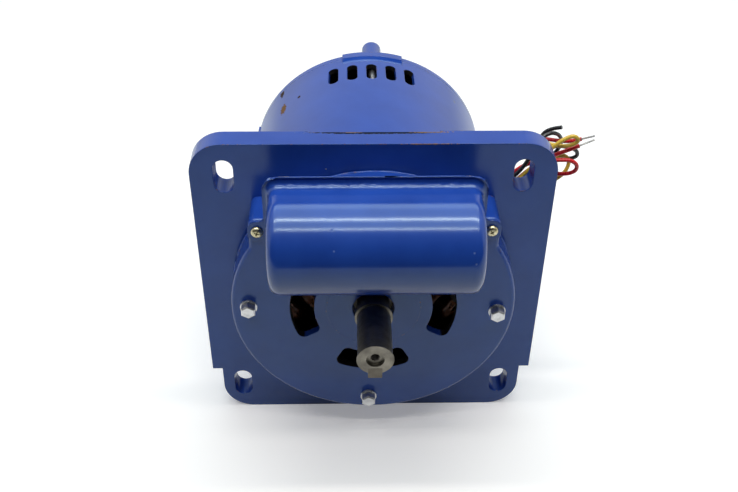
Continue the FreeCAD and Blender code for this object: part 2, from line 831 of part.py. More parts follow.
def arm_bracket():
    """Brass bracket on the switch plate with two ears and the pivot pin of the contact arm."""
    inner_z = arm_width / 2 + seat_gap
    outer_z = inner_z + bracket_thick
    left, right = -arm_pivot_x - arm_width / 2, -arm_pivot_x + arm_width / 2
    pin_y = switch_plate_front - arm_barrel_radius - seat_gap
    base = block(left, right, switch_plate_front - bracket_base, switch_plate_front, -inner_z, inner_z)
    ears = [block(left, right, pin_y - arm_barrel_radius, switch_plate_front, z, z + bracket_thick)
            for z in (-outer_z, inner_z)]
    foot = Vector(-arm_pivot_x, pin_y, -outer_z)
    pin = Part.makeCylinder(arm_pin_radius, outer_z * 2, foot, Vector(0, 0, 1))
    return base.fuse(ears + [pin])


def contact_arm():
    pin_y = switch_plate_front - arm_barrel_radius - seat_gap
    half = arm_width / 2
    strip_front = collar_rear + seat_gap
    foot = Vector(-arm_pivot_x, pin_y, -half)
    barrel = Part.makeCylinder(arm_barrel_radius, arm_width, foot, Vector(0, 0, 1))
    strip = block(-arm_pivot_x, -arm_tip_x, strip_front, strip_front + arm_thick, -half, half)
    button = rod(arm_button_radius, strip_front, pin_y + arm_thick, -arm_button_x, 0.0)
    hole = Part.makeCylinder(arm_pin_radius + running_gap, arm_width + overrun * 2,
                             foot - Vector(0, 0, overrun), Vector(0, 0, 1))
    return barrel.fuse([strip, button]).cut(hole)


def fixed_contact():
    pin_y = switch_plate_front - arm_barrel_radius - seat_gap
    return rod(arm_button_radius, pin_y + arm_thick + seat_gap, switch_plate_front, -arm_button_x, 0.0)


def cover_outline(inset, y_front, y_rear):
    """Flange outline with its two screw ears, as a prism."""
    side = flange_half_width - inset
    top = flange_top - inset
    bottom = flange_bottom + inset
    ear = lug_half_width - inset
    ear_high = lug_top - inset
    ear_low = ear_bottom + inset
    left = [(-side, bottom), (-side, ear_low), (-ear, ear_low),
            (-ear, ear_high), (-side, ear_high), (-side, top)]
    points = left + [(-x, z) for x, z in left[::-1]]
    corner, fillet = ear_corner - inset, ear_fillet + inset
    radii = [flange_corner, fillet, corner, corner, fillet, flange_corner]
    return outline_solid(points, radii + radii[::-1], y_front, y_rear)


def cover_dome(inset, y_rear):
    """Half round body with round ends, or the hollow inside it, set in by the sheet's thickness."""
    radius = cover_radius - inset
    half = cover_half_length - inset
    end = Vector(-half, cover_axis_y, cover_centre_z)
    barrel = Part.makeCylinder(radius, half * 2, end, Vector(1, 0, 0))
    rims = [edge for edge in barrel.Edges if edge.BoundBox.XLength < slip_gap]
    if inset > 0:
        barrel = barrel.makeChamfer(cover_end_round / 2, rims)
    else:
        barrel = barrel.makeFillet(cover_end_round, rims)
    low, high = cover_centre_z - radius, cover_centre_z + radius
    reach = half + overrun
    rear_half = block(-reach, reach, cover_axis_y, cover_axis_y + radius, low - overrun, high + overrun)
    barrel = barrel.cut(rear_half)
    points = [(-half, low), (-half, high), (half, high), (half, low)]
    flank = outline_solid(points, [cover_end_round - inset] * 4, cover_axis_y, y_rear)
    return barrel.fuse(flank)


def capacitor_cover():
    flange_rear = -bell_depth - back_sheet
    flange = cover_outline(0.0, flange_front, flange_rear)
    outside = flange.fuse(cover_dome(0.0, flange_rear))
    foot = []
    for edge in outside.Edges:
        box = edge.BoundBox
        on_face = abs(box.YMin - flange_front) < slip_gap and box.YLength < slip_gap
        reach_x = max(abs(box.XMin), abs(box.XMax)) - cover_half_length
        reach_z = max(abs(box.ZMin - cover_centre_z), abs(box.ZMax - cover_centre_z)) - cover_radius
        if on_face and max(reach_x, reach_z) < slip_gap:
            foot.append(edge)
    outside = outside.makeFillet(cover_foot_round, foot)
    cover = outside.cut(cover_dome(cover_sheet, flange_rear + overrun))
    for side in (-1, 1):
        cover = cover.cut(rod(screw_radius, flange_front - overrun, flange_rear + overrun,
                              side * cover_screw_x, cover_screw_z))
    return cover


def capacitor_back_plate():
    plate = cover_outline(back_inset, -bell_depth - back_sheet, -bell_depth)
    front, rear = -bell_depth - back_sheet - overrun, overrun - bell_depth
    wire_slot = annular_slot(kidney_inner + wire_slot_margin, kidney_outer - wire_slot_margin,
                             kidney_half_angle, kidney_corner - wire_slot_margin, front, rear)
    plate = plate.cut(wire_slot)
    for side in (-1, 1):
        plate = plate.cut(rod(screw_radius, front, rear, side * cover_screw_x, cover_screw_z))
    for place in bolt_places():
        plate = plate.cut(rod(washer_radius + seat_gap, front, rear, place.x, place.z))
    return plate


def capacitor_axis():
    reach = cover_radius - cover_sheet - capacitor_radius - seat_gap
    drop = reach * capacitor_drop_share
    return cover_axis_y - math.sqrt(reach * reach - drop * drop), cover_centre_z - drop


def start_capacitor():
    """Moulded can with a rolled rim at the terminal end."""
    y, z = capacitor_axis()
    half = capacitor_length / 2
    can = Part.makeCylinder(capacitor_radius, capacitor_length, Vector(-half, y, z), Vector(1, 0, 0))
    closed_end = [edge for edge in can.Edges if edge.CenterOfMass.x < slip_gap - half]
    can = can.makeChamfer(capacitor_rim, closed_end)
    recess = Part.makeCylinder(capacitor_radius - capacitor_rim, capacitor_rim,
                               Vector(half - capacitor_rim, y, z), Vector(1, 0, 0))
    return can.cut(recess)


def capacitor_terminals():
    y, z = capacitor_axis()
    face = capacitor_length / 2 - capacitor_rim
    wide, thin = terminal_width / 2, terminal_thick / 2
    places = (y - terminal_spread, y + terminal_spread)
    tip = face + terminal_length
    return Part.makeCompound([block(face, tip, middle - thin, middle + thin, z - wide, z + wide)
                              for middle in places])


def lead_frame():
    """Unit vectors at the exit: outward, and upward across it."""
    outward = at(1, lead_exit_angle)
    across = Vector(-outward.z, 0, outward.x)
    return outward, across


def lead_grommet():
    outward, across = lead_frame()
    inner = shell_bore - grommet_lip
    start = at(inner, lead_exit_angle, lead_exit_y)
    neck_length = shell_wall + grommet_lip * 2
    neck = Part.makeCylinder(lead_hole_radius - slip_gap, neck_length, start, outward)
    lip_start = at(shell_radius + slip_gap, lead_exit_angle, lead_exit_y)
    lip = Part.makeCylinder(grommet_lip_radius, grommet_lip, lip_start, outward)
    shell_body = rod(shell_radius + slip_gap, 0.0, shell_rear)
    body = neck.fuse(lip.cut(shell_body))
    bore = Part.makeCylinder(grommet_bore, neck_length * 2, start - outward * overrun, outward)
    return body.cut(bore)


def fillet_route(points):
    """Edges of a route: straight runs joined by tangent arcs, with the arc radii and length."""
    edges = []
    radii = []
    previous = points[0]
    for index in range(1, len(points) - 1):
        here = points[index]
        before = points[index - 1] - here
        after = points[index + 1] - here
        reach = arc_share * min(before.Length, after.Length)
        half_turn = (math.pi - before.getAngle(after)) / 2
        radius = reach / math.tan(half_turn)
        before.normalize()
        after.normalize()
        start = here + before * reach
        end = here + after * reach
        bisector = (before + after).normalize()
        middle = here + bisector * (radius / math.cos(half_turn) - radius)
        edges.append(Part.LineSegment(previous, start).toShape())
        edges.append(Part.Arc(start, middle, end).toShape())
        radii.append(radius)
        previous = end
    edges.append(Part.LineSegment(previous, points[-1]).toShape())
    return edges, radii


def lead_solid(name, points, radius):
    edges, radii = fillet_route(points)
    path = Part.Wire(edges)
    heading = (points[1] - points[0]).normalize()
    across = heading.cross(Vector(0, 1, 0)).normalize()
    section = polygon(radius, lead_sides, points[0], across, heading.cross(across))
    solid = path.makePipeShell([section], True, False)
    share = solid.Volume / (Part.Face(section).Area * path.Length)
    print(name, "length", round(path.Length, 1), "volume share", round(share, 4),
          "radii", [round(value, 1) for value in radii])
    return solid


# Routes of the six leads, chosen by eye: points after the exit from the grommet, about the shaft
# axis. The places say where each lead sits in the bundle as it leaves the grommet.
LEAD_PLACES = {
    "red_lead_looped": ("top", "rear"),
    "black_lead_upper": ("top", "front"),
    "black_lead_middle": ("middle", "rear"),
    "yellow_lead_upper": ("middle", "front"),
    "red_lead_straight": ("bottom", "rear"),
    "yellow_lead_lower": ("bottom", "front"),
}
BUNDLE_OFFSETS = {"top": lead_row_pitch, "middle": 0.0, "bottom": -lead_row_pitch,
                  "rear": lead_column_offset, "front": -lead_column_offset}
LEAD_ROUTES = {
    "red_lead_looped": [
        (80.0, 29.0, 57.2), (89.0, 29.0, 66.0), (98.5, 26.0, 70.0), (107.5, 24.0, 71.8),
        (113.5, 23.5, 72.3), (118.3, 23.5, 69.5), (118.8, 24.2, 64.5), (114.5, 26.0, 60.8),
        (107.0, 31.0, 58.0), (99.0, 37.5, 60.5), (95.0, 43.0, 68.0), (99.5, 45.0, 74.0),
        (107.0, 40.5, 75.2), (114.5, 33.5, 78.2), (120.0, 29.5, 82.5)],
    "black_lead_upper": [
        (79.0, 25.0, 56.0), (87.0, 25.5, 64.5), (93.0, 29.0, 74.0), (97.0, 33.0, 81.0),
        (103.5, 35.5, 83.5), (109.5, 39.0, 80.0), (112.5, 42.5, 73.0), (111.0, 44.0, 65.5),
        (106.0, 44.5, 60.0), (98.0, 45.0, 56.5)],
    "black_lead_middle": [
        (81.0, 30.0, 53.6), (90.0, 33.5, 62.0), (98.5, 34.8, 71.5), (107.0, 33.5, 75.8),
        (114.5, 33.3, 74.8), (120.0, 34.2, 72.0), (121.0, 34.8, 67.5), (116.5, 36.5, 64.5),
        (108.0, 39.0, 65.5), (101.0, 40.0, 69.5), (99.0, 42.5, 76.5), (104.0, 42.5, 82.0),
        (110.5, 39.5, 84.5)],
    "yellow_lead_upper": [
        (80.5, 24.5, 52.8), (88.5, 24.5, 61.5), (96.0, 24.5, 71.5), (103.0, 25.0, 80.0),
        (109.0, 25.5, 85.0), (114.7, 26.0, 87.3), (118.3, 26.2, 83.5), (114.6, 26.6, 80.2),
        (108.0, 27.5, 78.8), (99.0, 29.0, 80.5)],
    "red_lead_straight": [
        (81.8, 29.0, 50.8), (91.0, 30.0, 60.6), (99.5, 30.2, 67.6), (107.5, 29.2, 72.9),
        (113.5, 28.3, 76.0), (119.3, 28.0, 79.0)],
    "yellow_lead_lower": [
        (81.0, 24.5, 50.0), (90.0, 26.8, 56.0), (98.5, 31.8, 62.0), (106.5, 33.5, 67.4),
        (112.8, 34.0, 69.3), (116.5, 33.5, 65.5), (115.0, 32.0, 59.5), (110.0, 30.5, 54.5),
        (102.0, 29.0, 51.5)],
}
TIPPED = {"looped_lead_tip": "red_lead_looped", "straight_lead_tip": "red_lead_straight"}


def lead_points(name):
    row, column = [BUNDLE_OFFSETS[place] for place in LEAD_PLACES[name]]
    outward, across = lead_frame()
    start = at(lead_start_radius, lead_exit_angle, lead_exit_y + column)
    return [start + across * row] + [Vector(*point) for point in LEAD_ROUTES[name]]


def lead_tip(name):
    """Bare tinned end of a lead."""
    points = lead_points(name)
    heading = (points[-1] - points[-2]).normalize()
    return Part.makeCylinder(tip_radius, tip_length, points[-1], heading)


def add_leads():
    for name in LEAD_ROUTES:
        NODES[name] = lead_solid(name, lead_points(name), lead_radius)
    for tip_name, lead_name in TIPPED.items():
        NODES[tip_name] = lead_tip(lead_name)


def add_housing():
    NODES["flange_plate"] = flange_plate()
    NODES["flange_weld"] = flange_weld()
    NODES["motor_shell"] = motor_shell()
    NODES["front_end_bell"] = front_end_bell()
    NODES["rear_end_bell"] = rear_end_bell()
    NODES["through_bolts"] = through_bolts()
    NODES["bolt_washers"] = bolt_washers()
    NODES["lead_grommet"] = lead_grommet()


def add_windings():
    NODES["stator_core"] = stator_core()
    NODES["coil_sides"] = coil_sides()
    NODES["slot_wedges"] = slot_wedges()
    for name, side in (("front", -1), ("rear", 1)):
        main = winding_head(main_coil_radius, main_bundle, main_reach, side, 0)
        NODES[name + "_main_winding"] = main
        start = winding_head(start_coil_radius, start_bundle, start_reach, side, 180 / pole_count)
        NODES[name + "_start_winding"] = start
        NODES[name + "_winding_lacing"] = winding_lacing(side)


def add_capacitor():
    NODES["capacitor_cover"] = capacitor_cover()
    NODES["capacitor_back_plate"] = capacitor_back_plate()
    NODES["start_capacitor"] = start_capacitor()
    NODES["capacitor_terminals"] = capacitor_terminals()
    NODES["cover_screws"] = cover_screws()


def add_bearings():
    front = (front_bearing_bore, front_bearing_outer, front_bearing_width, front_bearing_front)
    rear = (rear_bearing_bore, rear_bearing_outer, rear_bearing_width, rear_bearing_front)
    NODES["front_bearing_outer_ring"] = bearing_outer(*front)
    NODES["front_bearing_inner_ring"] = bearing_inner(*front)
    NODES["rear_bearing_outer_ring"] = bearing_outer(*rear)
    NODES["rear_bearing_inner_ring"] = bearing_inner(*rear)
    ring_outer = front_bearing_outer + circlip_depth - slip_gap
    NODES["front_bearing_circlip"] = tube(ring_outer, ring_outer - circlip_width, front_bearing_rear,
                                          front_bearing_rear + circlip_thick)
    spring_inner = rear_bearing_outer - circlip_width
    cap_front = rear_hub_rear - rear_hub_cap
    NODES["wave_spring"] = tube(rear_bearing_outer, spring_inner, rear_bearing_rear, cap_front)


def add_rotor():
    NODES["rotor_shaft"] = rotor_shaft()
    NODES["shaft_key"] = shaft_key()
    NODES["rotor_core"] = rotor_core()
    NODES["rotor_cage"] = rotor_cage()
    NODES["governor_base"] = governor_base()
    NODES["governor_collar"] = governor_collar()
    NODES["governor_weight_right"] = governor_weight(1)
    NODES["governor_weight_left"] = governor_weight(-1)


def add_switch():
    NODES["switch_plate"] = switch_plate()
    NODES["switch_screws"] = switch_screws()
    NODES["arm_bracket"] = arm_bracket()
    NODES["contact_arm"] = contact_arm()
    NODES["fixed_contact"] = fixed_contact()


add_housing()
add_windings()
add_capacitor()
add_bearings()
add_rotor()
add_switch()
add_leads()

os.makedirs("parts", exist_ok=True)
for node_name, node_shape in NODES.items():
    placed = node_shape.copy()
    placed.translate(Vector(0, -length_centre, plate_bottom))
    placed.exportStep("parts/" + node_name + ".step")
print("shaft axis height", plate_bottom, "y shift", -length_centre, "nodes", len(NODES))
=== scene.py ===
"""Square-flange capacitor motor: finishes, leads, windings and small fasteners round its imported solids."""
import math

import bmesh
import bpy
from mathutils import Matrix, Vector, noise


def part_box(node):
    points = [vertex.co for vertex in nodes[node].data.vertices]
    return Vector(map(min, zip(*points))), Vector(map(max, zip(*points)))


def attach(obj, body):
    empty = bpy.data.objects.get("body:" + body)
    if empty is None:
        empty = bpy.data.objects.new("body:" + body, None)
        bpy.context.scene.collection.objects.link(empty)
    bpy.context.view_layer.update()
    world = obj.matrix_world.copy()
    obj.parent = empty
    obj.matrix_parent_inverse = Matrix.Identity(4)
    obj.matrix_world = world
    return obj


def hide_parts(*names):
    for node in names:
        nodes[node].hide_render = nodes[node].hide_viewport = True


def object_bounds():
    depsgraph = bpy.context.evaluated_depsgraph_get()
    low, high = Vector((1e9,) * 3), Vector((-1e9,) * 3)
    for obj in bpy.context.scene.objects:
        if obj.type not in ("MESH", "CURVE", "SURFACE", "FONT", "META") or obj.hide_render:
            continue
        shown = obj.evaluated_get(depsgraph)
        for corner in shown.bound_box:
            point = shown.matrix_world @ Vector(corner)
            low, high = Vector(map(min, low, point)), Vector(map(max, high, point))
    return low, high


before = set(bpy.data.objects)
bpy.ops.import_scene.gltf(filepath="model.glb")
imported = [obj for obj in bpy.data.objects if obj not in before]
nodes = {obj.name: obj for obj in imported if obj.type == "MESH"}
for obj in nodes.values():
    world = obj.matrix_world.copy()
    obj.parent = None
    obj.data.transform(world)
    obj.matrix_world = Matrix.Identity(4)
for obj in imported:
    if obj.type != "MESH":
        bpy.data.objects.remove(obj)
solid_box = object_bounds()

# The view
# The motor stands on the lower edge of its flange. It is seen from in front of the shaft and
# from above, a hand's breadth left of the middle.
camera = bpy.data.objects.new("camera", bpy.data.cameras.new("camera"))
camera.data.lens = 46.987
camera.data.sensor_width = 36.0
turn = [Matrix.Rotation(math.radians(angle), 4, axis)
        for angle, axis in ((-1.637, "Z"), (90 - 37.614, "X"), (0.645, "Z"))]
camera.matrix_world = Matrix.Translation((-0.01504, -0.49424, 0.47515)) @ turn[0] @ turn[1] @ turn[2]
bpy.context.scene.collection.objects.link(camera)
bpy.context.scene.camera = camera


# Leads
# Six stranded copper leads, two each in red, black and yellow, 2.4 mm over smooth soft insulation.
# They come out of the grommet behind the flange and curl back on themselves as they were left.
# Two red ones are stripped for 9 mm, and their tinned strands are twisted together.
LEAD_WIDTH = 0.0024
LEAD_ROUTES = {
    "red_lead_looped": [
        (0.06641, -0.02135, 0.15087), (0.08000, -0.02080, 0.16125), (0.08900, -0.02080, 0.17005),
        (0.09850, -0.02380, 0.17405), (0.10750, -0.02580, 0.17585), (0.11350, -0.02630, 0.17635),
        (0.11830, -0.02630, 0.17355), (0.11880, -0.02560, 0.16855), (0.11450, -0.02380, 0.16485),
        (0.10700, -0.01880, 0.16205), (0.09900, -0.01230, 0.16455), (0.09500, -0.00680, 0.17205),
        (0.09950, -0.00480, 0.17805), (0.10700, -0.00930, 0.17925), (0.11450, -0.01630, 0.18225),
        (0.12000, -0.02030, 0.18655),
    ],
    "black_lead_upper": [
        (0.06641, -0.02425, 0.15087), (0.07900, -0.02480, 0.16005), (0.08700, -0.02430, 0.16855),
        (0.09300, -0.02080, 0.17805), (0.09700, -0.01680, 0.18505), (0.10350, -0.01430, 0.18755),
        (0.10950, -0.01080, 0.18405), (0.11250, -0.00730, 0.17705), (0.11100, -0.00580, 0.16955),
        (0.10600, -0.00530, 0.16405), (0.09800, -0.00480, 0.16055),
    ],
    "black_lead_middle": [
        (0.06810, -0.02135, 0.14827), (0.08100, -0.01980, 0.15765), (0.09000, -0.01630, 0.16605),
        (0.09850, -0.01500, 0.17555), (0.10700, -0.01630, 0.17985), (0.11450, -0.01650, 0.17885),
        (0.12000, -0.01560, 0.17605), (0.12100, -0.01500, 0.17155), (0.11650, -0.01330, 0.16855),
        (0.10800, -0.01080, 0.16955), (0.10100, -0.00980, 0.17355), (0.09900, -0.00730, 0.18055),
        (0.10400, -0.00730, 0.18605), (0.11050, -0.01030, 0.18855),
    ],
    "yellow_lead_upper": [
        (0.06810, -0.02425, 0.14827), (0.08050, -0.02530, 0.15685), (0.08850, -0.02530, 0.16555),
        (0.09600, -0.02530, 0.17555), (0.10300, -0.02480, 0.18405), (0.10900, -0.02430, 0.18905),
        (0.11470, -0.02380, 0.19135), (0.11830, -0.02360, 0.18755), (0.11460, -0.02320, 0.18425),
        (0.10800, -0.02230, 0.18285), (0.09900, -0.02080, 0.18455),
    ],
    "red_lead_straight": [
        (0.06979, -0.02135, 0.14567), (0.08180, -0.02080, 0.15485), (0.09100, -0.01980, 0.16465),
        (0.09950, -0.01960, 0.17165), (0.10750, -0.02060, 0.17695), (0.11350, -0.02150, 0.18005),
        (0.11930, -0.02180, 0.18305),
    ],
    "yellow_lead_lower": [
        (0.06979, -0.02425, 0.14567), (0.08100, -0.02530, 0.15405), (0.09000, -0.02300, 0.16005),
        (0.09850, -0.01800, 0.16605), (0.10650, -0.01630, 0.17145), (0.11280, -0.01580, 0.17335),
        (0.11650, -0.01630, 0.16955), (0.11500, -0.01780, 0.16355), (0.11000, -0.01930, 0.15855),
        (0.10200, -0.02080, 0.15555),
    ],
}
TIP_LENGTH = 0.009


def add(tree, kind, inputs=None, **settings):
    """A node of that kind with its settings, and its inputs given as values or as sockets."""
    made = tree.nodes.new("ShaderNode" + kind)
    for name, value in settings.items():
        setattr(made, name, value)
    for socket, value in (inputs or {}).items():
        if isinstance(value, bpy.types.NodeSocket):
            tree.links.new(value, made.inputs[socket])
        else:
            made.inputs[socket].default_value = value
    return made


def new_effect(name, inputs, *outputs):
    """An empty node group: its tree, and the sockets inside it for its inputs and outputs."""
    tree = bpy.data.node_groups.new(name, "ShaderNodeTree")
    for label, value in inputs.items():
        kind = "NodeSocketVector" if isinstance(value, tuple) else "NodeSocketFloat"
        tree.interface.new_socket(label, in_out="INPUT", socket_type=kind).default_value = value
    for label in outputs:
        tree.interface.new_socket(label, in_out="OUTPUT", socket_type="NodeSocketFloat")
    return tree, tree.nodes.new("NodeGroupInput").outputs, tree.nodes.new("NodeGroupOutput").inputs


def new_finish(name, constants):
    """A new finish: the material, its tree, its shader and the place on the object."""
    finish = bpy.data.materials.new(name)
    finish.use_nodes = True
    tree = finish.node_tree
    shader = tree.nodes["Principled BSDF"]
    for socket, value in constants.items():
        shader.inputs[socket].default_value = value
    return finish, tree, shader, add(tree, "TexCoord").outputs["Object"]


def between(tree, share, low, high):
    """A value from low to high as share goes from 0 to 1."""
    return add(tree, "MapRange", {"Value": share, "To Min": low, "To Max": high}).outputs["Result"]


def tinted(tree, share, first, second):
    """The first colour where share is 0, the second where it is 1."""
    return add(tree, "Mix", {0: share, 6: first, 7: second}, data_type="RGBA").outputs[2]


grain, given, result = new_effect(
    "grain", {"Place": (0.0, 0.0, 0.0), "Stretch": (100.0, 100.0, 100.0), "Detail": 3.0}, "Grain")
drawn = add(grain, "VectorMath", {0: given["Place"], 1: given["Stretch"]}, operation="MULTIPLY").outputs[0]
fine = add(grain, "TexNoise", {"Vector": drawn, "Scale": 1.0, "Detail": given["Detail"]}).outputs[0]
grain.links.new(add(grain, "MapRange", {"Value": fine, "From Min": 0.3, "From Max": 0.7}).outputs[0],
                result["Grain"])


def worked(name, dark, light, stretch, relief, roughness, metallic=0.0, **constants):
    """A finish with a grain: two tints, a spread of roughness and a shallow relief in metres."""
    sockets = {"Metallic": metallic}
    sockets.update({label.replace("_", " "): value for label, value in constants.items()})
    finish, tree, shader, place = new_finish(name, sockets)
    mark = add(tree, "Group", {"Place": place, "Stretch": stretch}, node_tree=grain).outputs["Grain"]
    cloud = add(tree, "Group", {"Place": place, "Stretch": (70.0, 70.0, 70.0)}, node_tree=grain).outputs[0]
    both = add(tree, "Math", {0: mark, 1: cloud}, operation="MULTIPLY").outputs[0]
    tree.links.new(tinted(tree, both, (*dark, 1.0), (*light, 1.0)), shader.inputs["Base Color"])
    tree.links.new(between(tree, mark, *roughness), shader.inputs["Roughness"])
    edge = add(tree, "Bevel", {"Radius": 0.0003}, samples=4).outputs["Normal"]
    bump = add(tree, "Bump", {"Distance": relief, "Height": mark, "Normal": edge})
    tree.links.new(bump.outputs["Normal"], shader.inputs["Normal"])
    return finish


def fitted(name, shape, finish, body, slot, *stands_for, sharp=35.0):
    """The finished piece: its mesh, its finish, the body that it rides on and what it stands for."""
    mesh = bpy.data.meshes.new(name)
    shape.to_mesh(mesh)
    shape.free()
    mesh.shade_smooth()
    mesh.set_sharp_from_angle(angle=math.radians(sharp))
    mesh.materials.append(finish)
    piece = bpy.data.objects.new(name, mesh)
    bpy.context.scene.collection.objects.link(piece)
    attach(piece, body)
    if stands_for:
        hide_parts(*stands_for)
    return piece


insulation = {
    "red": worked("red_insulation", (0.56, 0.008, 0.014), (0.80, 0.024, 0.030), (900.0, 900.0, 900.0),
                  0.00002, (0.22, 0.36), IOR=1.5),
    "black": worked("black_insulation", (0.006, 0.006, 0.007), (0.016, 0.016, 0.018),
                    (900.0, 900.0, 900.0), 0.00002, (0.18, 0.32), IOR=1.5),
    "yellow": worked("yellow_insulation", (0.62, 0.40, 0.035), (0.80, 0.56, 0.07), (900.0, 900.0, 900.0),
                     0.00002, (0.24, 0.38), IOR=1.5),
}
tinned = worked("tinned_strand", (0.46, 0.45, 0.43), (0.78, 0.77, 0.74), (1500.0, 1500.0, 1500.0),
                0.00002, (0.2, 0.4), metallic=1.0)


def twisted_tip(name, start, end):
    """Seven tinned strands laid round one another from start to end."""
    strands = bmesh.new()
    length = (end - start).length
    for index in range(7):
        off = Vector((0.00037, 0, 0)) if index else Vector((0, 0, 0))
        off.rotate(Matrix.Rotation(index * math.tau / 6, 3, "Z"))
        section = bmesh.ops.create_circle(strands, cap_ends=True, segments=8, radius=0.00019,
                                          matrix=Matrix.Translation(off))
        face = list({f for v in section["verts"] for f in v.link_faces})
        bmesh.ops.spin(strands, geom=face, cent=(0, 0, 0), axis=(0, 0, 1), dvec=(0, 0, length / 20),
                       angle=math.radians(300), steps=20, use_merge=False, use_duplicate=False)
    bmesh.ops.recalc_face_normals(strands, faces=strands.faces)
    aim = (end - start).to_track_quat("Z", "X").to_matrix().to_4x4()
    bmesh.ops.transform(strands, matrix=Matrix.Translation(start) @ aim, verts=strands.verts)
    return fitted(name + "_strands", strands, tinned, "housing", "tinned_copper", name)


for name, route in LEAD_ROUTES.items():
    colour = name.split("_")[0]
    lead = bpy.data.curves.new(name + "_cord", "CURVE")
    lead.dimensions = "3D"
    lead.bevel_depth = LEAD_WIDTH / 2
    lead.bevel_resolution = 4
    lead.use_fill_caps = True
    lead.materials.append(insulation[colour])
    line = lead.splines.new("NURBS")
    line.points.add(len(route) - 1)
    for point, place in zip(line.points, route):
        point.co = (*place, 1.0)
    line.order_u = 3
    line.use_endpoint_u = True
    line.resolution_u = 8
    cord = bpy.data.objects.new(name + "_cord", lead)
    bpy.context.scene.collection.objects.link(cord)
    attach(cord, "housing")
    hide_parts(name)
    on_it = []
    if name.startswith("red"):
        bare_from = Vector(route[-1])
        bare_to = bare_from + (bare_from - Vector(route[-2])).normalized() * TIP_LENGTH
        on_it = [twisted_tip(name.split("_")[-1] + "_lead_tip", bare_from, bare_to)]


# Blue enamel
# Flange, shell, end bells and capacitor cover are sprayed together, when assembled, with one blue
# gloss enamel. It flows over edges, shows orange peel and specks of dust, and is chipped here
# and there down to the brown primer.
ENAMEL = (0.0155, 0.063, 0.365)
ENAMEL_DEEP = (0.0120, 0.050, 0.305)
PRIMER = (0.16, 0.085, 0.035)

orange_peel, given, result = new_effect(
    "orange_peel", {"Place": (0.0, 0.0, 0.0), "Ripple": 420.0, "Specks": 55.0}, "Height")
ripple = add(orange_peel, "TexNoise", {"Vector": given["Place"], "Scale": given["Ripple"], "Detail": 1.0})
swell = add(orange_peel, "TexNoise", {"Vector": given["Place"], "Scale": 90.0, "Detail": 1.0})
cells = add(orange_peel, "TexVoronoi", {"Vector": given["Place"], "Scale": given["Specks"]})
speck = add(orange_peel, "MapRange", {"Value": cells.outputs["Distance"], "From Min": 0.045,
                                      "From Max": 0.0, "To Max": 5.0}, interpolation_type="SMOOTHSTEP")
rare = add(orange_peel, "Math", {0: cells.outputs["Color"], 1: 0.72}, operation="GREATER_THAN")
dust = add(orange_peel, "Math", {0: speck.outputs[0], 1: rare.outputs[0]}, operation="MULTIPLY")
waves = add(orange_peel, "Math", {0: swell.outputs[0], 1: 2.5, 2: ripple.outputs[0]},
            operation="MULTIPLY_ADD")
total = add(orange_peel, "Math", {0: waves.outputs[0], 1: dust.outputs[0]}, operation="ADD")
orange_peel.links.new(total.outputs[0], result["Height"])

chip, given, result = new_effect(
    "chip", {"Place": (0.0, 0.0, 0.0), "Centre": (0.0, 0.0, 0.0), "Half Size": (0.01, 0.01, 0.01),
             "Ragged": 0.6}, "Mask")
away = add(chip, "VectorMath", {0: given["Place"], 1: given["Centre"]}, operation="SUBTRACT").outputs[0]
away = add(chip, "VectorMath", {0: away, 1: given["Half Size"]}, operation="DIVIDE").outputs[0]
away = add(chip, "VectorMath", {0: away}, operation="LENGTH").outputs["Value"]
torn = add(chip, "TexNoise", {"Vector": given["Place"], "Scale": 900.0, "Detail": 3.0}).outputs[0]
torn = add(chip, "Math", {0: torn, 1: 0.5}, operation="SUBTRACT").outputs[0]
torn = add(chip, "Math", {0: torn, 1: given["Ragged"], 2: away}, operation="MULTIPLY_ADD").outputs[0]
chip.links.new(add(chip, "MapRange", {"Value": torn, "From Min": 1.0, "From Max": 0.85}).outputs[0],
               result["Mask"])


AXIS = Vector((0, 0, 0.10405))
MOTOR_MIDDLE = (0.0, 0.02, AXIS.z)
# Near-black painted shade for the faces inside the shell and end bells.
INSIDE_SHADE = (0.012, 0.010, 0.009)


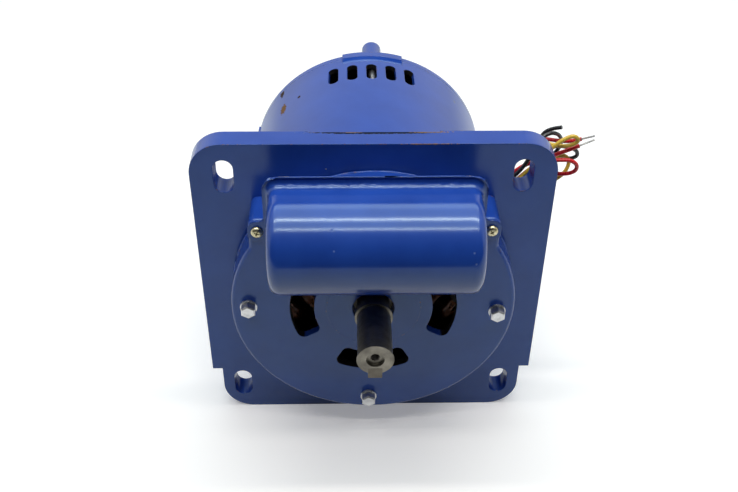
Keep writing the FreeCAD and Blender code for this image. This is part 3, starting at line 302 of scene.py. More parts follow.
def enamelled(name, chips=(), wear=0.78, ripple=420.0, specks=55.0, hollow=False, gloss=0.12):
    """Blue enamel with its own chips: (centre, half size, raggedness, colour) each. On a hollow
    piece the faces that look to the middle of the motor are painted near black, as painted shade inside the
    motor."""
    finish, tree, shader, place = new_finish(name, {"IOR": 1.54, "Specular Tint": (0.74, 0.94, 1.0, 1.0)})
    edge = add(tree, "Bevel", {"Radius": 0.0009}, samples=6).outputs["Normal"]
    flat = add(tree, "NewGeometry").outputs["True Normal"]
    turned = add(tree, "VectorMath", {0: edge, 1: flat}, operation="DOT_PRODUCT").outputs["Value"]
    arris = add(tree, "MapRange", {"Value": turned, "From Min": 0.985, "From Max": 0.9}).outputs[0]
    patchy = add(tree, "Group", {"Place": place, "Stretch": (260.0, 260.0, 260.0)},
                 node_tree=grain).outputs[0]
    worn = add(tree, "MapRange", {"Value": patchy, "From Min": wear, "From Max": wear + 0.06}).outputs[0]
    worn = add(tree, "Math", {0: worn, 1: arris}, operation="MULTIPLY").outputs[0]
    cloud = add(tree, "Group", {"Place": place, "Stretch": (45.0, 45.0, 45.0)}, node_tree=grain).outputs[0]
    colour = tinted(tree, cloud, (*ENAMEL_DEEP, 1.0), (*ENAMEL, 1.0))
    colour = tinted(tree, worn, colour, (*PRIMER, 1.0))
    for centre, half_size, ragged, shade in chips:
        here = add(tree, "Group", {"Place": place, "Centre": centre, "Half Size": half_size,
                                   "Ragged": ragged}, node_tree=chip).outputs["Mask"]
        colour = tinted(tree, here, colour, (*shade, 1.0))
        worn = add(tree, "Math", {0: worn, 1: here}, operation="MAXIMUM").outputs[0]
    # Painted shade: inward-looking faces go near black and matte, for the shade inside the motor.
    if hollow:
        outward = add(tree, "VectorMath", {0: place, 1: MOTOR_MIDDLE}, operation="SUBTRACT").outputs[0]
        outward = add(tree, "VectorMath", {0: outward}, operation="NORMALIZE").outputs[0]
        facing = add(tree, "VectorMath", {0: outward, 1: flat}, operation="DOT_PRODUCT").outputs["Value"]
        inside = add(tree, "MapRange", {"Value": facing, "From Min": -0.12, "From Max": -0.25}).outputs[0]
        colour = tinted(tree, inside, colour, (*INSIDE_SHADE, 1.0))
        worn = add(tree, "Math", {0: worn, 1: inside}, operation="MAXIMUM").outputs[0]
    tree.links.new(colour, shader.inputs["Base Color"])
    tree.links.new(between(tree, worn, gloss, 0.7), shader.inputs["Roughness"])
    tree.links.new(between(tree, worn, 0.5, 0.1), shader.inputs["Specular IOR Level"])
    height = add(tree, "Group", {"Place": place, "Ripple": ripple, "Specks": specks},
                 node_tree=orange_peel).outputs["Height"]
    height = add(tree, "Math", {0: worn, 1: -3.0, 2: height}, operation="MULTIPLY_ADD").outputs[0]
    bump = add(tree, "Bump", {"Distance": 0.000016, "Height": height, "Normal": edge})
    tree.links.new(bump.outputs["Normal"], shader.inputs["Normal"])
    return finish


def coated(finish, *names):
    """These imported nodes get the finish."""
    for name in names:
        nodes[name].data.materials[0] = finish


# Flange plate and weld
# A flame-cut steel plate, welded to the shell from behind. A near-black ragged line is painted along the rear
# corner of its top, as painted shade of the gap where the plate meets the shell, with flecks of gold-brown
# primer. More primer shows on its front arris above the cover.
RUST = (0.035, 0.018, 0.008)
GOLD = (0.26, 0.15, 0.06)
# Near-black painted shade for the gap behind the plate's top.
GAP_SHADE = (0.003, 0.005, 0.016)
PALE_SPECK = (0.25, 0.27, 0.32)
coated(enamelled("flange_enamel", [
    # Painted shade: a near-black ragged line along the rear corner of the top, for the gap where the plate
    # meets the shell.
    ((0.002, -0.0374, 0.2019), (0.0385, 0.0021, 0.0014), 1.2, GAP_SHADE),
    ((0.031, -0.0374, 0.2019), (0.010, 0.0007, 0.0012), 2.2, GOLD),
    ((-0.012, -0.0372, 0.2019), (0.007, 0.0006, 0.0012), 2.3, GOLD),
    ((0.031, -0.0499, 0.2018), (0.015, 0.0005, 0.0004), 2.4, GOLD),
    ((-0.0264, -0.0498, 0.1861), (0.0006, 0.001, 0.0004), 0.8, PALE_SPECK),
], gloss=0.24), "flange_plate")
coated(enamelled("weld_enamel", ripple=300.0), "flange_weld")

# Shell
# Rolled steel tube with a row of punched vents near its rear end, top and bottom. Handling has
# scuffed it brown at the left shoulder.
coated(enamelled("shell_enamel", [
    ((-0.0585, 0.0885, 0.1567), (0.0022, 0.0055, 0.002), 1.5, RUST),
    ((-0.0565, 0.0640, 0.1590), (0.0026, 0.0065, 0.003), 1.9, PRIMER),
    ((-0.0459, 0.0641, 0.1680), (0.0012, 0.0016, 0.0012), 1.0, RUST),
    ((0.0575, 0.0752, 0.1578), (0.0011, 0.0016, 0.0010), 1.0, PALE_SPECK),
], hollow=True, gloss=0.30), "motor_shell")

# End bells
# Aluminium castings: the front one carries the two lugs for the cover, three kidney vents and the
# bearing, the rear one four bolt bosses. The skin of the casting shows through the enamel.
coated(enamelled("front_bell_enamel", ripple=360.0, specks=70.0, hollow=True, gloss=0.22), "front_end_bell")
coated(enamelled("rear_bell_enamel", [
    ((0.0278, 0.0880, 0.1815), (0.0030, 0.0020, 0.0016), 1.2, RUST),
    ((-0.0323, 0.0870, 0.1795), (0.0012, 0.0012, 0.0012), 1.0, RUST),
], ripple=360.0, hollow=True, gloss=0.22), "rear_end_bell")
EAR_FRONT, EAR_RADIUS, EAR_TURN, EAR_HALF_ANGLE = 0.0912, 0.0797, 1.8, 14.6
RAMP_LENGTH, RAMP_START, RAMP_DEPTH, EAR_OVERLAP = 0.006, 0.00115, 0.0014, 0.0002
ramps = bmesh.new()
for index in range(4):
    first = math.radians(EAR_TURN + 90 * index - EAR_HALF_ANGLE)
    section = [ramps.verts.new((0, y, radius)) for y, radius in
               ((EAR_FRONT - RAMP_LENGTH, EAR_RADIUS - RAMP_START), (EAR_FRONT + EAR_OVERLAP, EAR_RADIUS),
                (EAR_FRONT + EAR_OVERLAP, EAR_RADIUS - RAMP_DEPTH))]
    start = ramps.faces.new(section)
    bmesh.ops.rotate(ramps, cent=(0, 0, 0), verts=section, matrix=Matrix.Rotation(first, 3, "Y"))
    bmesh.ops.spin(ramps, geom=[start], cent=(0, 0, 0), axis=(0, 1, 0), dvec=(0, 0, 0),
                   angle=math.radians(2 * EAR_HALF_ANGLE), steps=16, use_merge=False,
                   use_duplicate=False)
bmesh.ops.translate(ramps, vec=AXIS, verts=ramps.verts)
bmesh.ops.recalc_face_normals(ramps, faces=ramps.faces)
fitted("enamel_runs", ramps, enamelled("run_enamel"), "housing", "blue_paint")


# Paint bead
# Enamel has run into the groove between the front bell's rim and the flange and dried in front of it
# as a ragged bead all the way round.
BEAD_RADIUS, BEAD_DEPTH, BEAD_PLACE = 0.0822, 0.0008, -0.0530
RAGGED_OUT, RAGGED_ALONG = 0.0008, 0.0004


def hoop(shape, radius, depth, centre_y, centre, across, round_steps):
    """A round ring about an axis along Y, added to the shape."""
    section = bmesh.ops.create_circle(shape, segments=across, radius=depth,
                                      matrix=Matrix.Translation((centre.x + radius, centre_y, centre.z)))
    edges = list({e for v in section["verts"] for e in v.link_edges})
    bmesh.ops.spin(shape, geom=section["verts"] + edges, cent=(centre.x, centre_y, centre.z), axis=(0, 1, 0),
                   dvec=(0, 0, 0), angle=math.tau, steps=round_steps, use_merge=True, use_duplicate=False)


bead = bmesh.new()
hoop(bead, BEAD_RADIUS, BEAD_DEPTH, BEAD_PLACE, AXIS, across=8, round_steps=260)
for vertex in bead.verts:
    outward = (vertex.co - AXIS).normalized() * noise.noise(vertex.co * 260) * RAGGED_OUT
    vertex.co += outward + Vector((0, noise.noise(vertex.co * 190) * RAGGED_ALONG, 0))
bmesh.ops.recalc_face_normals(bead, faces=bead.faces)
fitted("paint_bead", bead, enamelled("bead_enamel"), "housing", "blue_paint")

# Capacitor cover
# One deep drawing in 0.9 mm sheet: a half round dome over the capacitor with a narrow flange and two
# ears. Its foot is well rounded, and the enamel has wrinkled there as it ran together.
COVER_RADIUS, COVER_HALF_LENGTH, COVER_END_ROUND = 0.0275, 0.0565, 0.006
COVER_CENTRE = Vector((0.0, -0.08825, 0.16405))
COVER_FACE, COVER_SHEET = -0.0739, 0.0009
FOOT_DEPTH, FOOT_SIDE, FOOT_CREST, FOOT_LOW = 0.0042, 0.0032, 0.0047, 0.0036
FOOT_RINGS, WRINKLE = 14, 0.00016
EAR_HOLE, EAR_HOLE_RADIUS = Vector((0.064, COVER_FACE, 0.16145)), 0.0019
RIM_CORNERS = [((0.0600, 0.13235), 0.0098), ((0.0600, 0.15445), 0.003), ((0.0692, 0.15445), 0.005),
               ((0.0692, 0.16805), 0.005), ((0.0600, 0.16805), 0.003), ((0.0600, 0.19665), 0.0098)]
cover = bmesh.new()
flat_half = COVER_HALF_LENGTH - COVER_END_ROUND
half = [(COVER_HALF_LENGTH, 0.0), (COVER_HALF_LENGTH, (COVER_RADIUS - COVER_END_ROUND) / 2)]
half += [(flat_half + COVER_END_ROUND * math.cos(step * math.pi / 16),
          COVER_RADIUS - COVER_END_ROUND * (1 - math.sin(step * math.pi / 16))) for step in range(8)]
half += [(flat_half * (1 - step / 70), COVER_RADIUS) for step in range(70)]
profile = half + [(0.0, COVER_RADIUS)] + [(-x, rise) for x, rise in half[::-1]]
profile = [cover.verts.new(COVER_CENTRE + Vector((x, 0, rise))) for x, rise in profile]
edges = [cover.edges.new(pair) for pair in zip(profile, profile[1:])]
bmesh.ops.spin(cover, geom=profile + edges, cent=COVER_CENTRE, axis=(1, 0, 0), dvec=(0, 0, 0),
               angle=math.pi, steps=56, use_merge=False, use_duplicate=False)
bmesh.ops.remove_doubles(cover, verts=cover.verts, dist=2e-6)
reach = [COVER_HALF_LENGTH, COVER_RADIUS, COVER_RADIUS]
for step in range(FOOT_RINGS):
    share = min(max(step - 1, 0), 11) * math.pi / 22
    rim = [edge for edge in cover.edges if edge.is_boundary]
    grown = bmesh.ops.extrude_edge_only(cover, edges=rim)["geom"]
    ring = [g for g in grown if isinstance(g, bmesh.types.BMVert)]
    spread = 1 - math.cos(share) + (0.03 if step == FOOT_RINGS - 1 else 0)
    wanted = [COVER_HALF_LENGTH + FOOT_SIDE * spread, COVER_RADIUS + FOOT_CREST * spread,
              COVER_RADIUS + FOOT_LOW * spread]
    wrinkle = WRINKLE * math.sin(2 * share)
    for vertex in ring:
        place = vertex.co - COVER_CENTRE
        tall = 1 if place.z > 0 else 2
        place.x *= wanted[0] / reach[0]
        place.z *= wanted[tall] / reach[tall]
        place.y = COVER_FACE - FOOT_DEPTH * (1 - math.sin(share)) - COVER_CENTRE.y
        ripple = noise.noise(Vector((place.x * 620, place.z * 620, step * 0.35)))
        vertex.co = COVER_CENTRE + place + Vector((0, -1, place.z / abs(place.z or 1))) * ripple * wrinkle
    reach = wanted
foot = [edge for edge in cover.edges if edge.is_boundary]
corners = RIM_CORNERS + [((-x, z), radius) for (x, z), radius in RIM_CORNERS[::-1]]
sheet = cover.faces.new([cover.verts.new((x, COVER_FACE, z)) for (x, z), _ in corners])
for vertex, (_, radius) in zip(list(sheet.verts), corners):
    bmesh.ops.bevel(cover, geom=[vertex], affect="VERTICES", offset=radius, segments=8, profile=0.5,
                    material=-1)
sheet = max(cover.faces, key=lambda face: len(face.verts))
outer = list(sheet.edges)
bmesh.ops.delete(cover, geom=[sheet], context="FACES_ONLY")
for side in (-1, 1):
    stand = Matrix.Translation((side * EAR_HOLE.x, EAR_HOLE.y, EAR_HOLE.z))
    stand = stand @ Matrix.Rotation(math.pi / 2, 4, "X")
    hole = bmesh.ops.create_circle(cover, segments=20, radius=EAR_HOLE_RADIUS, matrix=stand)["verts"]
    outer += list({edge for vertex in hole for edge in vertex.link_edges})
bmesh.ops.triangle_fill(cover, use_beauty=True, use_dissolve=False, edges=foot + outer)
bmesh.ops.recalc_face_normals(cover, faces=cover.faces)
bmesh.ops.solidify(cover, geom=cover.faces[:], thickness=COVER_SHEET)
NIB = (0.10, 0.16, 0.42)
fitted("drawn_cover", cover, enamelled("cover_enamel", [
    ((-0.0227, -0.1054, 0.1855), (0.0008, 0.0008, 0.0008), 0.4, NIB),
    ((-0.0217, -0.1123, 0.1774), (0.0006, 0.0006, 0.0006), 0.4, NIB),
    ((0.0492, -0.1130, 0.1762), (0.0006, 0.0006, 0.0006), 0.4, NIB),
    ((0.0504, -0.1150, 0.1706), (0.0006, 0.0006, 0.0006), 0.4, NIB),
], wear=0.97, ripple=260.0, specks=48.0, gloss=0.17), "housing", "blue_paint", "capacitor_cover", sharp=50.0)


# Cover screws
# Two pan head machine screws in yellow passivated zinc, with cross recesses, hold the ears of the
# cover down on the lugs.
def turned_piece(profile, centre, steps=32):
    """A closed piece turned about a line along Y: (radius, y) pairs from one end to the other."""
    lathe = bmesh.new()
    rim = [lathe.verts.new((centre.x + radius, y, centre.z)) for radius, y in profile]
    edges = [lathe.edges.new(pair) for pair in zip(rim, rim[1:])]
    bmesh.ops.spin(lathe, geom=rim + edges, cent=(centre.x, 0, centre.z), axis=(0, 1, 0), dvec=(0, 0, 0),
                   angle=math.tau, steps=steps, use_merge=True, use_duplicate=False)
    bmesh.ops.remove_doubles(lathe, verts=lathe.verts, dist=2e-6)
    bmesh.ops.recalc_face_normals(lathe, faces=lathe.faces)
    return lathe


def cut_out(shape, cutter):
    """The shape with the cutter taken out of it."""
    made = []
    for name, source in (("body_to_cut", shape), ("cutter", cutter)):
        mesh = bpy.data.meshes.new(name)
        source.to_mesh(mesh)
        source.free()
        made.append(bpy.data.objects.new(name, mesh))
        bpy.context.scene.collection.objects.link(made[-1])
    cut = made[0].modifiers.new("cut", "BOOLEAN")
    cut.operation = "DIFFERENCE"
    cut.solver = "EXACT"
    cut.use_self = True
    cut.object = made[1]
    solved = made[0].evaluated_get(bpy.context.evaluated_depsgraph_get())
    left = bmesh.new()
    left.from_mesh(solved.data)
    for piece in made:
        bpy.data.objects.remove(piece)
    return left


def joined(shapes):
    """Several shapes as one."""
    whole = bmesh.new()
    for shape in shapes:
        mesh = bpy.data.meshes.new("part_of_whole")
        shape.to_mesh(mesh)
        shape.free()
        whole.from_mesh(mesh)
        bpy.data.meshes.remove(mesh)
    return whole


def pan_screw(seat, head_radius, head_height, shank_radius, shank_length, turn, slots):
    """A pan head screw with its head in front of the seat: slots is 2 for a cross, 1 for a slot."""
    crown = [(0, -1), (0.35, -0.98), (0.62, -0.9), (0.84, -0.72), (0.96, -0.42), (1, -0.12), (0.97, 0)]
    profile = [(share * head_radius, seat.y + depth * head_height) for share, depth in crown]
    profile += [(shank_radius, seat.y), (shank_radius, seat.y + shank_length), (0, seat.y + shank_length)]
    head = turned_piece(profile, seat)
    recess = bmesh.new()
    for index in range(slots):
        blade = bmesh.ops.create_cube(recess, size=1.0)["verts"]
        long = head_radius * (1.15 if slots == 2 else 2.4)
        bmesh.ops.scale(recess, vec=(long, head_height * 1.3, head_radius * 0.22), verts=blade)
        tail = [v for v in blade if v.co.y > 0]
        bmesh.ops.scale(recess, vec=(0.45 if slots == 2 else 1.0, 1.0, 0.8), verts=tail)
        bmesh.ops.rotate(recess, cent=(0, 0, 0), verts=blade,
                         matrix=Matrix.Rotation(turn + index * math.pi / 2, 3, "Y"))
        bmesh.ops.translate(recess, vec=seat - Vector((0, head_height, 0)), verts=blade)
    bmesh.ops.recalc_face_normals(recess, faces=recess.faces)
    return cut_out(head, recess)


passivated = worked("yellow_zinc", (0.40, 0.35, 0.20), (0.80, 0.74, 0.52), (700.0, 700.0, 700.0), 0.00001,
                    (0.2, 0.42), metallic=1.0)
HEAD_RADIUS, HEAD_HEIGHT = 0.0035, 0.0024
COVER_SCREWS = [(Vector((-EAR_HOLE.x, EAR_HOLE.y, EAR_HOLE.z)), 0.35), (EAR_HOLE, 1.0)]
screws = [pan_screw(seat, HEAD_RADIUS, HEAD_HEIGHT, EAR_HOLE_RADIUS, 0.0125, turn, slots=2)
          for seat, turn in COVER_SCREWS]
fitted("cover_screw_pair", joined(screws), passivated, "housing", "yellow_zinc", "cover_screws")

# Through bolts and washers
# Four long zinc plated bolts run from the front bell through the shell to the bosses of the rear
# bell. Their small hexagon heads are chamfered and a little hollow on top.
zinc = worked("zinc_plate", (0.50, 0.505, 0.51), (0.80, 0.80, 0.80), (500.0, 500.0, 500.0), 0.00002,
              (0.26, 0.45), metallic=1.0)
BOLT_FLATS, SHANK_RADIUS = 0.008, 0.0024
BOLT_PLACES = [(0.00227, 0.17631), (0.07226, 0.10178), (-0.00227, 0.03179), (-0.07226, 0.10632)]
HEAD_FRONT, HEAD_REAR = -0.0784, -0.0734
bolt_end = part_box("through_bolts")[1].y
bolts = bmesh.new()
for x, z in BOLT_PLACES:
    stand = Matrix.Translation((x, HEAD_REAR, z)) @ Matrix.Rotation(math.pi / 2, 4, "X")
    rim = bmesh.ops.create_circle(bolts, cap_ends=True, segments=6, matrix=stand,
                                  radius=BOLT_FLATS / 2 / math.cos(math.pi / 6))
    face = rim["verts"][0].link_faces[0]
    for inset, rise in ((0.0, 0.0043), (0.0007, 0.0007), (0.0007, 0.0), (0.0009, -0.0004)):
        if inset:
            bmesh.ops.inset_region(bolts, faces=[face], thickness=inset, use_even_offset=True)
        else:
            face = bmesh.ops.extrude_discrete_faces(bolts, faces=[face])["faces"][0]
        bmesh.ops.translate(bolts, vec=(0, -rise, 0), verts=face.verts)
shank = [(0, HEAD_REAR), (SHANK_RADIUS, HEAD_REAR), (SHANK_RADIUS, bolt_end), (0, bolt_end)]
shanks = [turned_piece(shank, Vector((x, 0, z)), steps=16) for x, z in BOLT_PLACES]
fitted("through_bolt_set", joined([bolts, *shanks]), zinc, "housing", "zinc", "through_bolts")
coated(zinc, "bolt_washers")

# Shaft and key
# Turned steel shaft, oiled and blackened by handling, with a lip at its end and a tapped centre
# hole. The square key lies below in its keyway, flush with the end.
turned_marks, given, result = new_effect(
    "turned_marks", {"Place": (0.0, 0.0, 0.0), "Pitch": 2600.0}, "Grain")
off_axis = add(turned_marks, "VectorMath", {0: given["Place"], 1: tuple(AXIS)},
               operation="SUBTRACT").outputs[0]
apart = add(turned_marks, "SeparateXYZ", {"Vector": off_axis}).outputs
flat = add(turned_marks, "CombineXYZ", {"X": apart["X"], "Z": apart["Z"]}).outputs[0]
radius = add(turned_marks, "VectorMath", {0: flat}, operation="LENGTH").outputs["Value"]
along = add(turned_marks, "Math", {0: radius, 1: apart["Y"]}, operation="ADD").outputs[0]
along = add(turned_marks, "Math", {0: along, 1: given["Pitch"]}, operation="MULTIPLY").outputs[0]
rings = add(turned_marks, "TexNoise", {"W": along, "Scale": 1.0, "Detail": 2.0},
            noise_dimensions="1D").outputs[0]
turned_marks.links.new(rings, result["Grain"])


def turned_finish(name, dark, light, relief, roughness, pitch=2600.0, stain=(0.05, 0.045, 0.04)):
    """Lathe-turned metal: rings round the shaft's axis, with patches of stain."""
    finish, tree, shader, place = new_finish(name, {"Metallic": 1.0})
    ring = add(tree, "Group", {"Place": place, "Pitch": pitch}, node_tree=turned_marks).outputs["Grain"]
    patch = add(tree, "Group", {"Place": place, "Stretch": (160.0, 160.0, 160.0)}, node_tree=grain).outputs[0]
    colour = tinted(tree, ring, (*dark, 1.0), (*light, 1.0))
    tree.links.new(tinted(tree, between(tree, patch, 0.0, 0.6), colour, (*stain, 1.0)),
                   shader.inputs["Base Color"])
    tree.links.new(between(tree, patch, *roughness), shader.inputs["Roughness"])
    edge = add(tree, "Bevel", {"Radius": 0.0004}, samples=4).outputs["Normal"]
    bump = add(tree, "Bump", {"Distance": relief, "Height": ring, "Normal": edge})
    tree.links.new(bump.outputs["Normal"], shader.inputs["Normal"])
    return finish


coated(turned_finish("blackened_steel", (0.15, 0.14, 0.12), (0.30, 0.28, 0.235), 0.00001, (0.34, 0.52)),
       "rotor_shaft")
coated(worked("key_steel", (0.09, 0.08, 0.065), (0.20, 0.18, 0.15), (300.0, 60.0, 300.0), 0.00001,
              (0.35, 0.55), metallic=1.0), "shaft_key")
thread = bmesh.new()
HOLE_RADIUS, COUNTERBORE_DEPTH = 0.0025, 0.0024
THREAD_PITCH, THREAD_DEPTH, THREAD_TURNS, TURN_STEPS = 0.0008, 0.00042, 14, 24
hole_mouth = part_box("rotor_shaft")[0].y + COUNTERBORE_DEPTH
tooth = ((HOLE_RADIUS, 0), (HOLE_RADIUS - THREAD_DEPTH, THREAD_PITCH / 2), (HOLE_RADIUS, THREAD_PITCH))
corners = [thread.verts.new((AXIS.x + r, hole_mouth + y, AXIS.z)) for r, y in tooth]
ridge = [thread.edges.new(pair) for pair in zip(corners, corners[1:])]
bmesh.ops.spin(thread, geom=corners + ridge, cent=AXIS, axis=(0, 1, 0), angle=math.tau * THREAD_TURNS,
               dvec=(0, THREAD_PITCH / TURN_STEPS, 0), steps=TURN_STEPS * THREAD_TURNS, use_merge=False,
               use_duplicate=False)
bmesh.ops.recalc_face_normals(thread, faces=thread.faces)
fitted("centre_hole_thread", thread, worked("cut_thread", (0.16, 0.15, 0.14), (0.34, 0.33, 0.31),
       (900.0, 900.0, 900.0), 0.00001, (0.3, 0.5), metallic=1.0), "rotor", "blackened_steel", sharp=20.0)

# Windings
# Each pole's end turns are a bundle of enamelled copper wire, bent out of the slots, round the bore
# and back: the main winding lies outside, the start winding inside it and nearer the stack.
STACK_FACES = {"front": (-0.0118, -1), "rear": (0.0482, 1)}
WIRES_ROUND, WANDER, WANDER_SEED = 26, 0.0005, 5
noise.seed_set(WANDER_SEED)


def half_bundle(shape, radius, bundle, reach, stack_face, side):
    """Half of one pole's end turns, from the slots to the middle of the pole, with its wires showing."""
    bend = bundle * 1.06
    half_angle = math.pi / 4 - math.asin((bundle + 0.0006) / radius)
    section = bmesh.ops.create_circle(shape, segments=WIRES_ROUND * 3, radius=bundle * 0.96,
                                      matrix=Matrix.Rotation(math.pi / 2, 4, "X"))["verts"]
    for index, vertex in enumerate(sorted(section, key=lambda v: math.atan2(v.co.z, v.co.x))):
        if index % 3 == 0:
            vertex.co *= 0.93
    bmesh.ops.translate(shape, vec=(0, stack_face, radius), verts=section)
    ring = section + list({e for v in section for e in v.link_edges})
    rise = reach - bend
    for _ in range(5):
        rim = [g for g in ring if isinstance(g, bmesh.types.BMEdge)]
        grown = bmesh.ops.extrude_edge_only(shape, edges=rim)
        ring = [g for g in grown["geom"] if not isinstance(g, bmesh.types.BMFace)]
        bmesh.ops.translate(shape, vec=(0, side * rise / 5, 0),
                            verts=[g for g in ring if isinstance(g, bmesh.types.BMVert)])
    ring = bmesh.ops.spin(shape, geom=ring, cent=(bend, stack_face + side * rise, radius), axis=(0, 0, 1),
                          dvec=(0, 0, 0), angle=-side * math.pi / 2, steps=7, use_merge=False,
                          use_duplicate=False)["geom_last"]
    bmesh.ops.rotate(shape, cent=(0, 0, 0), matrix=Matrix.Rotation(-half_angle, 3, "Y"), verts=shape.verts)
    reached = half_angle - math.atan(bend / radius)
    ring = bmesh.ops.spin(shape, geom=ring, cent=(0, 0, 0), axis=(0, 1, 0), dvec=(0, 0, 0), angle=reached,
                          steps=9, use_merge=False, use_duplicate=False)["geom_last"]
    bmesh.ops.scale(shape, vec=(0, 1, 1), verts=[g for g in ring if isinstance(g, bmesh.types.BMVert)])


def wound_head(name, end, radius, bundle, reach, first_angle):
    """Four poles of end turns, each wire wandering a little."""
    stack_face, side = STACK_FACES[end]
    poles = []
    for pole in range(4):
        shape = bmesh.new()
        half_bundle(shape, radius, bundle, reach, stack_face, side)
        bmesh.ops.mirror(shape, geom=shape.verts[:] + shape.edges[:] + shape.faces[:], axis="X",
                         merge_dist=1e-6)
        bmesh.ops.rotate(shape, cent=(0, 0, 0), verts=shape.verts,
                         matrix=Matrix.Rotation(first_angle + pole * math.pi / 2, 3, "Y"))
        bmesh.ops.translate(shape, vec=AXIS, verts=shape.verts)
        for vertex in shape.verts:
            vertex.co += noise.noise_vector(vertex.co * 150) * WANDER
        bmesh.ops.recalc_face_normals(shape, faces=shape.faces)
        poles.append(shape)
    return fitted(name + "_wires", joined(poles), copper, "housing", "copper_wire", name, sharp=75.0)


# Painted shade: the end turns' copper is about three times darker than the slot copper, for the shade inside
# the motor behind the vents.
copper = worked("enamelled_copper_painted_shade", (0.07, 0.022, 0.010), (0.24, 0.078, 0.030), (240.0, 240.0, 240.0),
                0.00004, (0.22, 0.42), metallic=0.85, Coat_Weight=0.5)
MAIN_RADIUS, MAIN_BUNDLE, MAIN_REACH = 0.060, 0.005, 0.024
START_RADIUS, START_BUNDLE, START_REACH = 0.049, 0.0042, 0.017
for end in STACK_FACES:
    wound_head(end + "_main_winding", end, MAIN_RADIUS, MAIN_BUNDLE, MAIN_REACH, 0.0)
    wound_head(end + "_start_winding", end, START_RADIUS, START_BUNDLE, START_REACH, math.pi / 4)
coated(worked("slot_copper", (0.28, 0.08, 0.022), (0.66, 0.24, 0.08), (1100.0, 20.0, 1100.0), 0.0002,
              (0.25, 0.45), metallic=0.85), "coil_sides")

# Lacing
# Waxed cord ties the wires of each main coil at three places. Each tie has five turns side by side
# and lies a little askew, as it was wound by hand.
cord_wax = worked("lacing_cord", (0.50, 0.44, 0.32), (0.80, 0.75, 0.62), (1500.0, 300.0, 1500.0), 0.00012,
                  (0.6, 0.8), Sheen_Weight=0.3)
TIE_RADIUS, CORD_RADIUS, CORD_SPACING, TIE_ANGLE = 0.00545, 0.00046, 0.00085, math.radians(22)
for end, (stack_face, side) in STACK_FACES.items():
    ties = []
    for tie in range(12):
        turns = bmesh.new()
        for step in range(-2, 3):
            hoop(turns, TIE_RADIUS, CORD_RADIUS, step * CORD_SPACING, Vector((0, 0, 0)), across=6,
                 round_steps=20)
        lay = Matrix.Rotation(math.pi / 2, 3, "Z") @ Matrix.Rotation(0.12 * ((tie * 7) % 5 - 2) / 2, 3, "X")
        bmesh.ops.rotate(turns, cent=(0, 0, 0), matrix=lay, verts=turns.verts)
        bmesh.ops.translate(turns, vec=(0, stack_face + side * MAIN_REACH, MAIN_RADIUS), verts=turns.verts)
        angle = (tie // 3) * math.pi / 2 + TIE_ANGLE * (tie % 3 - 1)
        bmesh.ops.rotate(turns, cent=(0, 0, 0), verts=turns.verts, matrix=Matrix.Rotation(angle, 3, "Y"))
        bmesh.ops.translate(turns, vec=AXIS, verts=turns.verts)
        bmesh.ops.recalc_face_normals(turns, faces=turns.faces)
        ties.append(turns)
    fitted(end + "_lacing_cord", joined(ties), cord_wax, "housing", "lacing_tape", end + "_winding_lacing")

# Stator and rotor cores
# Stacks of half-millimetre sheets, varnished as a block. The rotor's bars, end rings and fan blades
# are cast on it in aluminium.
laminated = worked("laminations", (0.045, 0.042, 0.038), (0.20, 0.195, 0.19), (30.0, 2100.0, 30.0), 0.00008,
                   (0.4, 0.6), metallic=0.8, Coat_Weight=0.3)
coated(laminated, "stator_core", "rotor_core")
coated(worked("cast_aluminium", (0.36, 0.365, 0.37), (0.62, 0.63, 0.64), (420.0, 420.0, 420.0), 0.00012,
              (0.4, 0.62), metallic=1.0), "rotor_cage")
coated(worked("fibre_board", (0.24, 0.13, 0.06), (0.44, 0.28, 0.14), (220.0, 900.0, 220.0), 0.00006,
              (0.5, 0.72)), "slot_wedges", "switch_plate")

# Bearings
# Shielded ball bearings with ground rings. A circlip keeps the front one in its hub, and a waved
# washer of blued spring steel loads the rear one.
coated(turned_finish("bearing_steel", (0.46, 0.465, 0.48), (0.72, 0.725, 0.74), 0.000004, (0.12, 0.26),
                     pitch=5200.0, stain=(0.40, 0.38, 0.33)),
       "front_bearing_outer_ring", "front_bearing_inner_ring", "rear_bearing_outer_ring",
       "rear_bearing_inner_ring")
coated(worked("spring_steel", (0.055, 0.06, 0.075), (0.16, 0.17, 0.20), (300.0, 300.0, 300.0), 0.00001,
              (0.25, 0.4), metallic=1.0), "front_bearing_circlip", "wave_spring")

# Governor
# Pressed steel base on the shaft with two hinged weights, and a moulded nylon collar that they draw
# back when the motor is up to speed.
coated(worked("pressed_steel", (0.30, 0.305, 0.31), (0.58, 0.585, 0.59), (120.0, 600.0, 120.0), 0.00002,
              (0.28, 0.46), metallic=1.0),
       "governor_base", "governor_weight_right", "governor_weight_left", "capacitor_back_plate")
coated(worked("moulded_nylon", (0.60, 0.56, 0.46), (0.80, 0.77, 0.68), (350.0, 350.0, 350.0), 0.00003,
              (0.35, 0.5), Subsurface_Weight=0.1, Subsurface_Scale=0.002), "governor_collar")

# Start switch
# Brass bracket, arm and fixed contact riveted to a fibre board plate, which four slotted screws
# hold to the posts of the rear bell.
coated(worked("stamped_brass", (0.44, 0.28, 0.075), (0.74, 0.56, 0.24), (700.0, 90.0, 700.0), 0.00001,
              (0.2, 0.4), metallic=1.0), "arm_bracket", "contact_arm", "fixed_contact", "capacitor_terminals")

SLOT_SCREWS = [Vector((math.sin(angle), 0, math.cos(angle))) for angle in
               (math.pi / 4 + index * math.pi / 2 for index in range(4))]
post_circle = (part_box("switch_screws")[1].x - HEAD_RADIUS) / math.sin(math.pi / 4)
plate_front = Vector((0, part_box("switch_plate")[0].y, 0))
screws = [pan_screw(AXIS + place * post_circle + plate_front, HEAD_RADIUS, HEAD_HEIGHT, 0.0016, 0.0138,
                    0.4 + 0.9 * index, slots=1) for index, place in enumerate(SLOT_SCREWS)]
fitted("switch_screw_set", joined(screws), zinc, "housing", "zinc", "switch_screws")

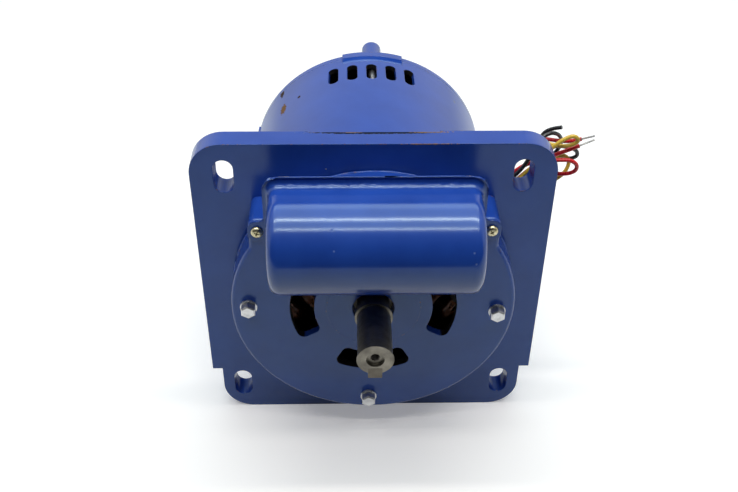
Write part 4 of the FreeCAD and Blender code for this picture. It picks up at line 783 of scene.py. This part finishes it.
# Capacitor
# A start capacitor in a black moulded can lies under the cover, with two brass tabs at its end. The
# tabs share the stamped brass of the start switch.
coated(worked("black_moulding", (0.008, 0.008, 0.009), (0.022, 0.022, 0.024), (500.0, 500.0, 500.0), 0.00004,
              (0.3, 0.48)), "start_capacitor")

# Grommet
# A black rubber grommet lines the hole where the leads leave the shell. It is duller
# and a little greyer than the black ones.
coated(worked("grommet_rubber", (0.010, 0.010, 0.010), (0.024, 0.023, 0.022), (400.0, 400.0, 400.0), 0.00004,
              (0.55, 0.75)), "lead_grommet")

# Table and light
# A white table, seen whiter by the eye than the light that it throws back on the motor, a large
# pale light overhead with two bright strips in it, and a dark room in front and above the backdrop.
WHITE = (1.0, 1.0, 1.0, 1.0)
DULL = {"Base Color": (0.01, 0.01, 0.01, 1.0), "Roughness": 1.0, "Specular IOR Level": 0.0}


def by_eye(tree):
    """1 for what is seen, straight, mirrored or through glass, and 0 for what only lights."""
    path = add(tree, "LightPath").outputs
    seen = add(tree, "Math", {0: path["Is Camera Ray"], 1: path["Is Glossy Ray"]},
               operation="MAXIMUM").outputs[0]
    return add(tree, "Math", {0: seen, 1: path["Is Transmission Ray"]}, operation="MAXIMUM").outputs[0]


def set_up(name, matrix, size, finish, before_camera=True):
    """A flat square of the room round the motor."""
    sheet = bmesh.new()
    bmesh.ops.create_grid(sheet, x_segments=1, y_segments=1, size=size, matrix=matrix)
    mesh = bpy.data.meshes.new(name)
    sheet.to_mesh(mesh)
    sheet.free()
    mesh.materials.append(finish)
    piece = bpy.data.objects.new(name, mesh)
    piece.visible_camera = before_camera
    bpy.context.scene.collection.objects.link(piece)


table, tree, shader, place = new_finish("table_white", {"Roughness": 0.7, "Specular IOR Level": 0.1,
                                                        "Emission Color": WHITE})
seen = by_eye(tree)
tree.links.new(tinted(tree, seen, (0.4, 0.4, 0.4, 1.0), (0.86, 0.86, 0.86, 1.0)), shader.inputs["Base Color"])
tree.links.new(between(tree, seen, 0.0, 0.26), shader.inputs["Emission Strength"])
set_up("table_top", Matrix.Translation((0, 0, solid_box[0].z - 0.0001)), 4.0, table)

room = bpy.data.worlds.new("studio")
bpy.context.scene.world = room
room.use_nodes = True
backdrop = room.node_tree.nodes["Background"].inputs
backdrop["Color"].default_value = WHITE
room.node_tree.links.new(between(room.node_tree, by_eye(room.node_tree), 0.12, 1.0), backdrop["Strength"])

for name, place, size, power in (("overhead_light", (0.0, 0.23, 1.70), (2.2, 2.15), 18.0),
                                 ("rear_panel", (0.0, 1.03, 1.695), (2.2, 0.55), 5.0),
                                 ("rear_strip", (0.0, -0.085, 1.69), (1.9, 0.08), 13.0),
                                 ("front_strip", (0.0, -0.71, 1.69), (1.9, 0.05), 8.0)):
    lamp = bpy.data.lights.new(name, "AREA")
    lamp.shape = "RECTANGLE"
    lamp.size, lamp.size_y = size
    lamp.energy = power
    lamp.color = (1.0, 0.94, 0.88) if "strip" in name else (0.80, 0.95, 1.0)
    light = bpy.data.objects.new(name, lamp)
    light.location = place
    bpy.context.scene.collection.objects.link(light)

black = new_finish("black_cloth", DULL)[0]
dark, tree, shader, place = new_finish("dark_room", {**DULL, "Emission Color": WHITE})
up = add(tree, "SeparateXYZ", {"Vector": place}).outputs["Z"]
rise = add(tree, "MapRange", {"Value": up, "From Min": 0.45, "From Max": 1.3, "To Max": 0.45}).outputs[0]
tree.links.new(rise, shader.inputs["Emission Strength"])
for name, centre, half_size, finish in (("dark_front", (0, -0.62, 0.66), (1.8, 0.65, 1, 1), dark),
                                        ("dark_gap", (0, 1.31, 1.39), (6.0, 0.30, 1, 1), black)):
    upright = Matrix.Translation(centre) @ Matrix.Rotation(math.pi / 2, 4, "X") @ Matrix.Diagonal(half_size)
    set_up(name, upright, 1.0, finish, before_camera=False)

bpy.context.scene.view_settings.view_transform = "Standard"
